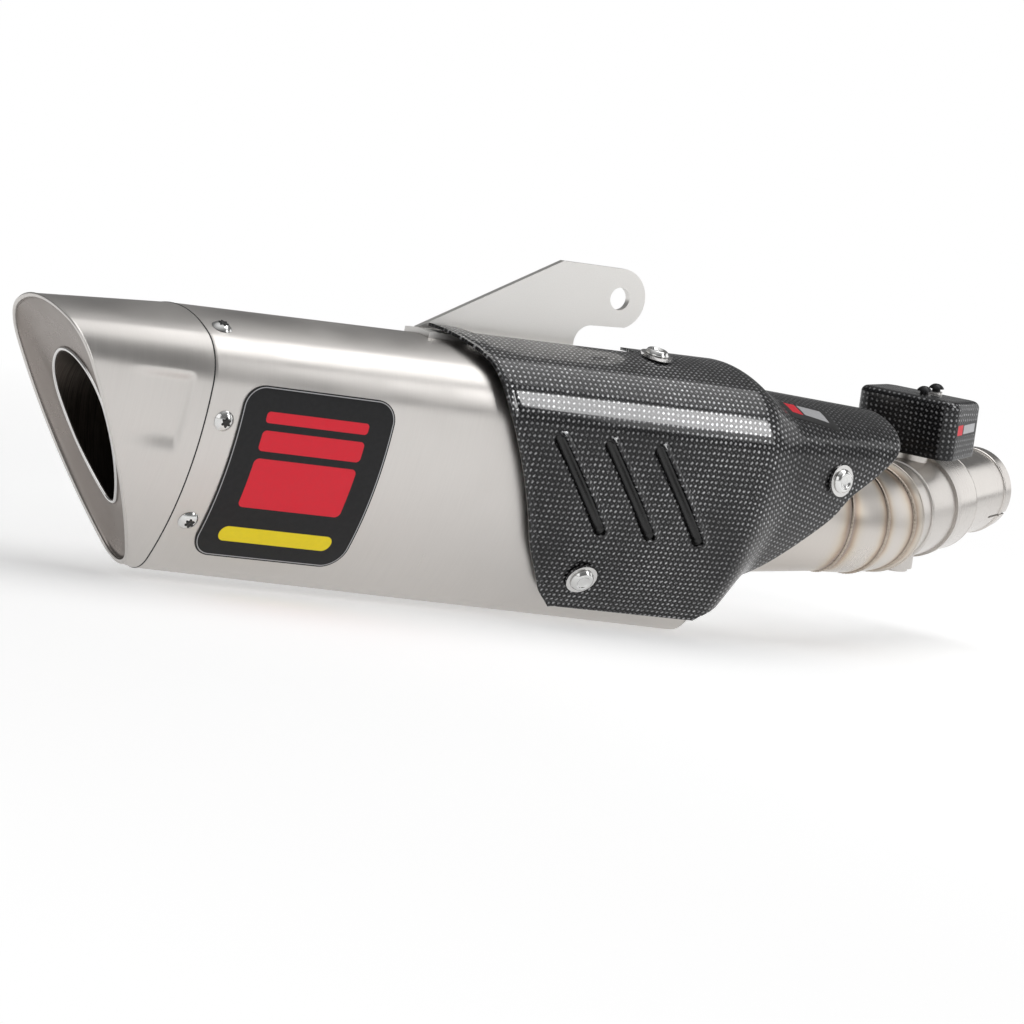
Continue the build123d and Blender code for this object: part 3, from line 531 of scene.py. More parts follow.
class ExhaustShapes(bpy.types.PropertyGroup):
    """Depths and heights of the pressed and welded details"""
    panel_depth: bpy.props.FloatProperty(
        name="Panel depth", description="Depth of the panel pressed in the cap", default=0.003,
        min=0, max=0.006, unit="LENGTH")
    lip_height: bpy.props.FloatProperty(
        name="Slot lip", description="Height of the rolled lip beside each slot", default=0.0023,
        min=0, max=0.004, unit="LENGTH")
    weld_size: bpy.props.FloatProperty(
        name="Weld size", description="Half thickness of the weld beads", default=0.0011,
        min=0.0003, max=0.003, unit="LENGTH")
    hem_depth: bpy.props.FloatProperty(
        name="Hem line", description="Depth of the line beside the shield's edge", default=0.0003,
        min=0, max=0.002, unit="LENGTH")


class ExhaustStudio(bpy.types.PropertyGroup):
    """Camera"""
    azimuth: bpy.props.FloatProperty(
        name="Azimuth", description="Turn of the camera round the object",
        default=np.radians(-32.73), subtype="ANGLE")
    elevation: bpy.props.FloatProperty(
        name="Elevation", description="Height of the camera as an angle",
        default=np.radians(5.56), subtype="ANGLE")
    roll: bpy.props.FloatProperty(
        name="Roll", description="Turn of the camera about its own axis",
        default=np.radians(10.07), subtype="ANGLE")
    distance: bpy.props.FloatProperty(
        name="Distance", description="From the camera to its target", default=2.337, min=0.5, unit="LENGTH")
    lens: bpy.props.FloatProperty(
        name="Lens", description="Focal length in millimetres", default=151.2, min=20)
    target: bpy.props.FloatVectorProperty(
        name="Target", description="Point at the middle of the view",
        default=tuple(ORIGIN + np.array((224.54, 0.0, -25.42)) * MM), size=3, subtype="XYZ", unit="LENGTH")


def axis_frame(origin, axis, up):
    """Matrix at the origin whose Z is the axis."""
    axis = Vector(axis).normalized()
    side = Vector(up).cross(axis).normalized()
    return Matrix.Translation(Vector(origin)) @ Matrix((side, axis.cross(side), axis)).transposed().to_4x4()


class EXHAUST_OT_end_cap(bpy.types.Operator):
    """Slash-cut cap with a pressed panel, its hollow mouth and the outlet's rim"""
    bl_idname = "exhaust.end_cap"
    bl_label = "End cap"
    sheet = 2.0
    rim_bulge = 0.9
    # The pressed panel's edges along X and up, each with the way it takes to come to full depth
    panel_rear, panel_front = (-9.0, 3.2), (-48.0, 30.0)
    panel_low, panel_high = (-12.0, 12.0), (33.0, 6.0)

    def skin(self, angles, share, grow, panel):
        """Straight lines from the seam's section to the cap's end section, each stopped at the cut."""
        sy, sz, _ = section(BODY_RADII + grow, BODY_TOP + grow, angles)
        ey, ez, _ = section(CAP_RADII + grow, CAP_TOP + grow, angles)
        seam = np.stack([0 * sy, sy, sz], -1)
        line = np.stack([0 * ey - CAP_REACH, ey, ez], -1) - seam
        reach = ((SLASH_POINT - seam) @ SLASH_NORMAL) / (line @ SLASH_NORMAL)
        points = seam + (share * reach)[..., None] * line
        x, z = points[..., 0], points[..., 2]
        mask = 1.0
        for value, (low, low_way), (high, high_way) in ((x, self.panel_front, self.panel_rear),
                                                        (z, self.panel_low, self.panel_high)):
            mask = mask * ease((value - low) / low_way) * ease((high - value) / high_way)
        inward = np.stack([0 * sy, -np.sin(angles), -np.cos(angles)], -1)
        return points + (mask * (points[..., 1] < 0) * panel)[..., None] * inward

    def execute(self, context):
        shapes = context.scene.exhaust_shapes
        materials = bpy.data.materials
        angles = even_angles(BODY_RADII, 360)
        shares = np.concatenate([[0.0, 0.005, 0.009], np.linspace(0.02, 0.985, 64), [0.995]])
        depth = shapes.panel_depth / MM
        outer = [self.skin(angles, share, -0.6 * (share == 0), depth) for share in shares]
        turn = np.linspace(0, np.pi, 9)
        edge_out, edge_in = self.skin(angles, 1.0, 0.25, 0.0), self.skin(angles, 1.0, -self.sheet, 0.0)
        middle, half = (edge_out + edge_in) / 2, (edge_out - edge_in) / 2
        rim = [middle + half * np.cos(t) - SLASH_NORMAL * self.rim_bulge * np.sin(t) for t in turn]
        inner = [self.skin(angles, share, -self.sheet, depth) for share in shares[::-1]]
        cap = loft("cap_shell", [to_row(row) for row in (*outer, *rim, *inner)])
        add_piece("cap_shell", cap, materials["Brushed titanium cap"], replaces=("end_cap",))

        # Painted shade: a thin black ring in the groove between cap and sleeve stands in for the shade in that
        # joint.
        line = body_skin(np.zeros(len(angles)), angles, -0.28)[0]
        outward = np.stack([0 * angles, -np.sin(angles), np.cos(angles)], -1)
        outward = outward * np.array((1.0, np.sign(line[:, 1] @ outward[:, 1]), 1.0))
        seam_shade = bead("seam_seal", to_row(line), outward, np.tile((1.0, 0.0, 0.0), (len(angles), 1)),
                    np.full(len(angles), 0.5 * MM), 8)
        add_piece("seam_seal", seam_shade, materials["Painted shade black"])

        mouth = self.skin(angles, 1.0, -2.1, 0.0) + SLASH_NORMAL * 0.3
        ey, ez, _ = section(OUTLET_RADII, OUTLET_TOP, angles)
        egg = SLASH_POINT + ey[:, None] * np.array((0, 1.0, 0)) + ez[:, None] * SLASH_UP
        steps = np.linspace(0, np.pi / 2, 26)
        front = [mouth + (egg - mouth) * (1 - np.cos(t)) + SLASH_NORMAL * OUTLET_DEPTH * np.sin(t)
                 for t in steps]
        back = [row + SLASH_NORMAL * 1.1 for row in front[::-1]]
        dish = loft("outlet_funnel", [to_row(row) for row in (*front, *back)])
        add_piece("outlet_funnel", dish, materials["Pressed titanium with painted shade"],
                  replaces=("outlet_dish",))

        centre = egg + SLASH_NORMAL * (OUTLET_DEPTH - 0.2)
        tangent = np.roll(egg, -1, 0) - np.roll(egg, 1, 0)
        tangent /= np.linalg.norm(tangent, axis=1)[:, None]
        outward = np.cross(tangent, SLASH_NORMAL)
        lip = bead("outlet_lip", to_row(centre), outward, np.tile(SLASH_NORMAL, (len(egg), 1)),
                   np.full(len(egg), 1.15 * MM))
        add_piece("outlet_lip", lip, materials["Polished steel"])
        return {"FINISHED"}


class EXHAUST_OT_sleeve(bpy.types.Operator):
    """Sleeve with rounded ends"""
    bl_idname = "exhaust.sleeve"
    bl_label = "Sleeve"

    def execute(self, context):
        angles = even_angles(BODY_RADII, 360)
        places = np.concatenate([[0.0, 0.25, 0.6], np.linspace(2, SLEEVE_LENGTH - 2, 40), [SLEEVE_LENGTH]])
        drop = np.where(places < 0.5, -0.6 + 0.6 * np.sqrt(np.clip(places / 0.5, 0, 1)), 0.0)
        outer = [body_skin(np.full(len(angles), x), angles, d)[0] for x, d in zip(places, drop)]
        inner = [body_skin(np.full(len(angles), x), angles, -1.2)[0] for x in places[::-1]]
        mesh = loft("sleeve_skin", [to_row(row) for row in (*outer, *inner)])
        add_piece("sleeve_skin", mesh, bpy.data.materials["Brushed titanium sleeve"],
                  replaces=("sleeve",))
        return {"FINISHED"}


class EXHAUST_OT_heat_shield(bpy.types.Operator):
    """Carbon heat shield with slots, rolled lips, a hem line and dished bolt seats"""
    bl_idname = "exhaust.heat_shield"
    bl_label = "Heat shield"
    front_line = ((-71.0, 244.0), (-66.0, 232.0), (-38.0, 210.0), (0.0, 191.0), (37.5, 171.5), (62.0, 164.5),
                  (76.0, 143.0))
    rear_line = ((-71.0, 334.0), (-60.0, 352.0), (-30.0, 383.0), (-3.0, 410.0), (9.0, 415.5), (20.0, 430.0),
                 (37.0, 449.0), (76.0, 449.5))
    slot_top, slot_bottom = np.array((204.5, 25.0)), np.array((250.0, -26.5))
    slot_pitch, slot_width, slot_count = 32.0, 5.5, 3
    bottom, split = -71.0, 26.0
    bolts = ((250.0, -121.0), (287.0, -10.5))

    def rounded(self, line, heights):
        """Edge line as X against height, averaged over a few millimetres so that its corners turn softly."""
        z, x = np.array(line).T
        dense = np.linspace(z[0] - 12, z[-1] + 12, 800)
        values = np.interp(dense, z, x)
        width = 45
        padded = np.pad(values, width, mode="edge")
        values = np.convolve(padded, np.hanning(2 * width + 1) / np.hanning(2 * width + 1).sum(), "valid")
        return np.interp(heights, dense, values)

    def profile(self, x):
        """Radii and top of the shield's outer skin: straight between the knots, with the knots softened."""
        grown = GROWTH * SHIELD_KNOTS[:2] + SHIELD_GROW
        radii = np.concatenate([BODY_RADII + grown[:, None], TAIL_RADII])
        tops = np.concatenate([BODY_TOP + grown, TAIL_TOPS])
        shifts = (-5.0, -2.5, 0.0, 2.5, 5.0)
        soft_radii = sum(np.stack([np.interp(x + s, SHIELD_KNOTS, radii[:, k]) for k in range(3)], -1)
                         for s in shifts)
        soft_tops = sum(np.interp(x + s, SHIELD_KNOTS, tops) for s in shifts)
        return soft_radii / len(shifts), soft_tops / len(shifts)

    def angle_at_height(self, radii, top, height):
        """Angle on the flank or the bottom arc where the section has that height."""
        cosines = np.cos(TURNS)
        closing = last_radius(radii)
        flank_top = top + radii[..., 0] * (cosines[0] - 1) + radii[..., 1] * (cosines[1] - cosines[0])
        flank_end = flank_top + radii[..., 2] * (cosines[2] - cosines[1])
        flank = np.arccos(np.clip(cosines[1] + (height - flank_top) / radii[..., 2], cosines[2], cosines[1]))
        under = np.arccos(np.clip(cosines[2] + (height - flank_end) / closing, -1.0, cosines[2]))
        return np.where(height > flank_end, flank, under)

    def top_edge(self, x):
        """How far the shield reaches over the crown: beside the bracket it stops short."""
        lip, cut, rest = 1.5, -13.0, 10.0
        return lip + (cut - lip) * ease((x - 168.0) / 5.0) + (rest - cut) * ease((x - 276.0) / 6.0)

    def slot_axes(self):
        """Direction down a slot, the direction across it, and its length."""
        axis = self.slot_bottom - self.slot_top
        long = np.linalg.norm(axis)
        axis = axis / long
        return axis, np.array((-axis[1], axis[0])), long

    def slot_distance(self, x, z):
        """Distance from the nearest slot's edge, the direction away from it, and the side it lies on."""
        axis, across, long = self.slot_axes()
        best = None
        for number in range(self.slot_count):
            start = self.slot_top + np.array((self.slot_pitch * number, 0.0))
            dx, dz = x - start[0], z - start[1]
            along = np.clip(dx * axis[0] + dz * axis[1], self.slot_width / 2, long - self.slot_width / 2)
            ox, oz = dx - along * axis[0], dz - along * axis[1]
            far = np.hypot(ox, oz) + 1e-9
            here = (far - self.slot_width / 2, ox / far, oz / far, ox * across[0] + oz * across[1])
            best = best or here
            nearer = here[0] < best[0]
            best = [np.where(nearer, new, old) for new, old in zip(here, best)]
        return best

    def upper(self, share_x, share_s):
        """Above the split height: a share from front to rear edge and from the split up to the top edge."""
        x = 170.0 + 280.0 * share_x
        for _ in range(24):
            radii, top = self.profile(x)
            low = section(radii, top, self.angle_at_height(radii, top, self.split))[2]
            high = -radii[..., 0] * np.arcsin(self.top_edge(x) / radii[..., 0])
            height = section(radii, top, angle_at_length(radii, low + (high - low) * share_s))[1]
            front, rear = self.rounded(self.front_line, height), self.rounded(self.rear_line, height)
            x = 0.5 * x + 0.5 * (front + (rear - front) * share_x)
        return x, angle_at_length(radii, low + (high - low) * share_s)

    def lower_angle(self, x, height):
        """Angle below the split height, for each place along X and its height."""
        radii, top = self.profile(x)
        return self.angle_at_height(radii, top, height)

    def skin(self, x, angle, rise):
        """Points of the skin moved out along its normal, and the cloth's own coordinates in millimetres."""
        radii, top = self.profile(x)
        across, height, length = section(radii, top, angle)
        points = np.stack([x + 0 * across, -across - rise * np.sin(angle), height + rise * np.cos(angle)], -1)
        return points, height, length

    def shade_pans(self):
        """Painted shade: a black trough behind each slot stands in for the shade seen through it; rings of its
        outline, drawn in as they go deeper.
        """
        turn = np.linspace(0, 2 * np.pi, 96, endpoint=False)
        axis, across, long = self.slot_axes()
        half = self.slot_width / 2
        points, faces = [], []
        steps = ((2.2, -1.75), (0.6, -1.9), (-0.3, -2.6), (-1.0, -3.3), (-1.9, -3.6), (-2.6, -3.7))
        for number in range(self.slot_count):
            centre = (self.slot_top + self.slot_bottom) / 2 + np.array((self.slot_pitch * number, 0.0))
            rings = []
            for wider, depth in steps:
                along = np.sign(np.cos(turn)) * (long / 2 - half) + (half + wider) * np.cos(turn)
                aside = (half + wider) * np.sin(turn)
                x = centre[0] + along * axis[0] + aside * across[0]
                z = centre[1] + along * axis[1] + aside * across[1]
                rings.append(to_row(self.skin(x, self.lower_angle(x, z), depth)[0]))
            base = sum(len(part) for part in points)
            points.append(np.concatenate(rings))
            faces.append(quads_of(len(steps), len(turn), True, False) + base)
            last = base + (len(steps) - 1) * len(turn)
            ring = last + np.arange(len(turn) // 2 - 1)
            mirror = last + len(turn) - 1 - np.arange(len(turn) // 2 - 1)
            faces.append(np.stack([ring, mirror, mirror - 1, ring + 1], -1))
        mesh = make_mesh("slot_pans", np.concatenate(points), np.concatenate(faces), closed=False)
        shade_pans = add_piece("slot_pans", mesh, bpy.data.materials["Painted shade black"])
        wall = shade_pans.modifiers.new("wall", "SOLIDIFY")
        wall.thickness, wall.offset = 0.3 * MM, -1.0

    def execute(self, context):
        shapes = context.scene.exhaust_shapes
        columns, low_rows, high_rows = 262, 116, 58
        share = np.linspace(0, 1, columns)[None, :]
        up = np.linspace(0, 1, low_rows)[:, None] ** 1.12
        z = self.bottom + (self.split - self.bottom) * up + 0 * share
        front, rear = self.rounded(self.front_line, z), self.rounded(self.rear_line, z)
        x = front + (rear - front) * share
        gap, away_x, away_z, side = self.slot_distance(x, z)
        quads = quads_of(low_rows + high_rows - 1, columns, False, False)
        far = 50.0
        inside = np.full((low_rows + high_rows - 1, columns), far)
        inside[:low_rows] = gap
        middle = inside.ravel()[quads].mean(1)
        kept = quads[middle > 0]
        edge = np.zeros(inside.size, bool)
        edge[np.intersect1d(quads[middle <= 0], kept)] = True
        edge = edge.reshape(inside.shape)[:low_rows]
        x, z = np.where(edge, x - gap * away_x, x), np.where(edge, z - gap * away_z, z)
        gap = np.where(edge, 0.0, gap)
        upper_x, upper_angle = self.upper(share, np.linspace(0, 1, high_rows)[1:, None] + 0 * share)
        all_x = np.concatenate([x, upper_x])
        all_angle = np.concatenate([self.lower_angle(x, z), upper_angle])
        _, height, length = self.skin(all_x, all_angle, 0.0)
        gap = np.concatenate([gap, np.full(upper_x.shape, far)])
        side = np.concatenate([side, np.zeros(upper_x.shape)])
        front = self.rounded(self.front_line, height)
        lip = ease(side / 4.0 + 0.3)
        rise = shapes.lip_height / MM * np.exp(-(gap / 2.3) ** 2) * lip
        rise -= 0.9 * np.exp(-(gap / 3.0) ** 2) * (1 - lip)
        rise -= shapes.hem_depth / MM * np.exp(-((all_x - front - 5.0) / 0.8) ** 2)
        rise -= shapes.hem_depth / MM * np.exp(-((height - self.bottom - 2.6) / 0.7) ** 2)
        rise += 0.6 * np.exp(-((all_x - front) / 1.8) ** 2)
        for bolt_x, bolt_angle in self.bolts:
            radii, top = self.profile(np.array(bolt_x))
            bolt_length = section(radii, top, np.array(np.radians(abs(bolt_angle))))[2]
            rise -= 0.5 * ease((14.0 - np.hypot(all_x - bolt_x, length - bolt_length)) / 5.0)
        points, _, length = self.skin(all_x, all_angle, rise)
        uv = np.stack([all_x, length], -1)
        used, index = np.unique(kept, return_inverse=True)
        mesh = make_mesh("shield_cloth", to_row(points.reshape(-1, 3))[used], index.reshape(kept.shape),
                         uv.reshape(-1, 2)[used], closed=False)
        inner = Vector(to_row(np.array((280.0, 0.0, 0.0))))
        face = mesh.polygons[len(mesh.polygons) // 2]
        if face.normal.dot(face.center - inner) < 0:
            mesh.flip_normals()
        shield = add_piece("shield_cloth", mesh, bpy.data.materials["Shield cloth"],
                           replaces=("heat_shield",))
        wall = shield.modifiers.new("wall", "SOLIDIFY")
        wall.thickness, wall.offset = SHIELD_WALL * MM, -1.0
        self.shade_pans()
        return {"FINISHED"}


class EXHAUST_OT_screws(bpy.types.Operator):
    """Low flanged screws on the shield, and a black star on each seam screw, painted shade standing in for its
    recess
    """
    bl_idname = "exhaust.screws"
    bl_label = "Screws"
    washer_top = 2.05

    def place(self, x, angle, lift):
        """Point over the skin of the sleeve, and the direction away from it."""
        point = body_skin(np.array([float(x)]), np.array([angle]), lift)[0][0]
        return point, np.array((0.0, np.sin(angle), np.cos(angle)))

    def tail_place(self):
        """On the straight line of the tail's widest points, a little inside it."""
        x, z = 402.0, 18.6
        wide = [section(radii, 0.0, TURNS[1])[0] for radii in TAIL_RADII]
        slope = (wide[0] - wide[1]) / (SHIELD_KNOTS[3] - SHIELD_KNOTS[2])
        out = np.array((slope, -1.0, 0.0)) / np.hypot(slope, 1.0)
        point = np.array((x, -(wide[0] - slope * (x - SHIELD_KNOTS[2])) + 0.8, z))
        return point + out * self.washer_top, out

    def execute(self, context):
        spots = [self.place(x, np.radians(turn), SHIELD_GROW + self.washer_top)
                 for x, turn in EXHAUST_OT_heat_shield.bolts] + [self.tail_place()]
        head = ((0.0, 1.9), (2.6, 1.9), (3.3, 2.0), (3.6, 2.5), (4.1, 2.8), (5.0, 2.75), (5.7, 2.3),
                (6.1, 1.5), (6.6, 1.0), (6.8, 0.5), (6.7, 0.1), (0.0, 0.1))
        screws = lathe(head, [axis_frame(to_row(point), out, (1, 0, 0)) for point, out in spots], 64)
        add_piece("flanged_screws", make_mesh("flanged_screws", *screws),
                  bpy.data.materials["Bright fasteners"], replaces=("shield_bolts",))
        # Painted shade: a black star on each seam screw's head stands in for the shade in its socket.
        turn = np.linspace(0, 2 * np.pi, 72, endpoint=False)
        star = 2.35 * (1 + 0.2 * np.cos(6 * turn))
        levels = ((1.0, 0.0), (1.0, 0.35), (0.55, 0.40), (0.001, 0.42), (0.001, 0.0))
        rings = np.stack([np.stack([star * share * np.cos(turn), star * share * np.sin(turn),
                                    0 * turn + height], -1) for share, height in levels])
        points, faces = [], []
        for angle in np.radians((21.6, 100.0, 120.0, -21.6, -100.0, -120.0)):
            point, out = self.place(10.7, angle, 2.42)
            matrix = np.array(axis_frame(to_row(point), out, (1, 0, 0)))
            faces.append(quads_of(len(rings), len(turn), True, False) + sum(len(part) for part in points))
            points.append(rings.reshape(-1, 3) * MM @ matrix[:3, :3].T + matrix[:3, 3])
        recess_shades = make_mesh("star_recesses", np.concatenate(points), np.concatenate(faces))
        add_piece("star_recesses", recess_shades, bpy.data.materials["Painted shade black"])
        return {"FINISHED"}


class EXHAUST_OT_welds(bpy.types.Operator):
    """Rippled weld beads round the neck, the elbow's cuts and the flared ring"""
    bl_idname = "exhaust.welds"
    bl_label = "Welds"

    def execute(self, context):
        size = context.scene.exhaust_shapes.weld_size
        turn = np.arccos(LINK.x)
        ahead = np.array((1.0, 0, 0))
        sideways = np.array((0.0, LINK.y, LINK.z)) / np.hypot(LINK.y, LINK.z)
        joints = (("weld_neck", 0.0, 0.8), ("weld_elbow", turn / 2, 0.9), ("weld_ring", turn, 1.15))
        count = 420
        around = np.linspace(0, 2 * np.pi, count, endpoint=False)
        for name, angle, grow in joints:
            forward = ahead * np.cos(angle) + sideways * np.sin(angle)
            centre = ELBOW_START + ahead * ELBOW_BEND * np.sin(angle) \
                + sideways * ELBOW_BEND * (1 - np.cos(angle))
            first = np.cross(forward, np.array((0, 0, 1.0)))
            first /= np.linalg.norm(first)
            second = np.cross(first, forward)
            outward = np.cos(around)[:, None] * first + np.sin(around)[:, None] * second
            ripple = 1 + 0.16 * np.abs(np.sin(around * 42)) + 0.05 * np.sin(around * 5 + angle)
            mesh = bead(name, centre + outward * BEAD_RADIUS, outward, np.tile(forward, (count, 1)),
                        size * grow * ripple, 10)
            add_piece(name, mesh, bpy.data.materials["Weld bead"])
        return {"FINISHED"}


class EXHAUST_OT_valve(bpy.types.Operator):
    """Rings and cast ribs on the valve body, and the cloth cover over its pulley"""
    bl_idname = "exhaust.valve"
    bl_label = "Valve"

    def ring(self, name, along, radius, size, finish, slot):
        """Bead round the link's axis, that far along it."""
        count = 200
        around = np.linspace(0, 2 * np.pi, count, endpoint=False)[:, None]
        outward = np.cos(around) * np.array(LINK_SIDE) + np.sin(around) * np.array(LINK_UP)
        centre = np.array(ELBOW_END + LINK * along * MM) + outward * radius * MM
        mesh = bead(name, centre, outward, np.tile(np.array(LINK), (count, 1)), np.full(count, size * MM), 12)
        add_piece(name, mesh, bpy.data.materials[finish])

    def execute(self, context):
        self.ring("body_ridge", 30.0, 29.3, 1.6, "Cast body", "cast_body")
        self.ring("flare_rim", 9.0, 32.6, 0.9, "Heated titanium link", "heated_titanium")
        self.ring("collar_edge", 94.6, 29.6, 0.6, "Machined steel", "machined_steel")
        self.cover()
        return {"FINISHED"}

    def cover(self):
        """Rounded box: a ring of its outline, drawn in toward the top along a quarter round, then closed."""
        half_long, half_wide, corner = 22.0, 31.5, 9.0
        count = 240
        perimeter = 4 * (half_long + half_wide - 2 * corner) + 2 * np.pi * corner
        s = np.linspace(0, perimeter, count, endpoint=False)
        dense = np.linspace(0, 2 * np.pi, 4000, endpoint=False)
        corner_x = np.sign(np.cos(dense)) * (half_long - corner)
        corner_y = np.sign(np.sin(dense)) * (half_wide - corner)
        px, py = corner_x + corner * np.cos(dense), corner_y + corner * np.sin(dense)
        step = np.hypot(np.diff(px, append=px[:1]), np.diff(py, append=py[:1]))
        length = np.concatenate([[0.0], np.cumsum(step)])
        place = s / perimeter * length[-1]
        px, py = np.append(px, px[0]), np.append(py, py[0])
        path_x, path_y = np.interp(place, length, px), np.interp(place, length, py)
        tx, ty = np.roll(path_x, -1) - np.roll(path_x, 1), np.roll(path_y, -1) - np.roll(path_y, 1)
        norm = np.hypot(tx, ty)
        normal_x, normal_y = ty / norm, -tx / norm
        low, high, edge = 34.0, 69.0, 4.0
        turn = np.linspace(0, np.pi / 2, 10)
        inset = np.concatenate([[1.4, 0.0], np.zeros(14), edge * (1 - np.cos(turn)), [edge + 3]])
        up = np.concatenate([[low], np.linspace(low + 0.4, high - edge, 15),
                             high - edge + edge * np.sin(turn), [high + 0.05]])
        closing = np.linspace(0.9, 0.0, 8)
        shrink = np.concatenate([np.ones(len(inset)), closing])
        inset = np.concatenate([inset, np.full(len(closing), edge + 3)])
        up = np.concatenate([up, high + 0.25 * (1 - closing)])
        ring_x = (path_x - normal_x * inset[:, None]) * shrink[:, None]
        ring_y = (path_y - normal_y * inset[:, None]) * shrink[:, None]
        tilt = np.tan(np.radians(8.0)) * ease((up[:, None] - low) / (high - low))
        heights = up[:, None] - tilt * (ring_x + half_long) * 0.5
        centre = np.array(ELBOW_END + LINK * 57.0 * MM)
        points = centre + MM * (ring_x[..., None] * np.array(LINK) + ring_y[..., None] * -np.array(LINK_SIDE)
                                + heights[..., None] * np.array(LINK_UP))
        span = np.concatenate([[0.0], np.cumsum(np.hypot(np.diff(inset), np.diff(up)))])
        uv = np.stack(np.broadcast_arrays(s[None, :] + 0 * ring_x, span[:, None] + 0 * ring_x), -1)
        quads = quads_of(points.shape[0], count, True, False)
        mesh = make_mesh("cover_cloth", points.reshape(-1, 3), quads, uv.reshape(-1, 2))
        add_piece("cover_cloth", mesh, bpy.data.materials["Cover cloth"],
                  replaces=("valve_cover",))


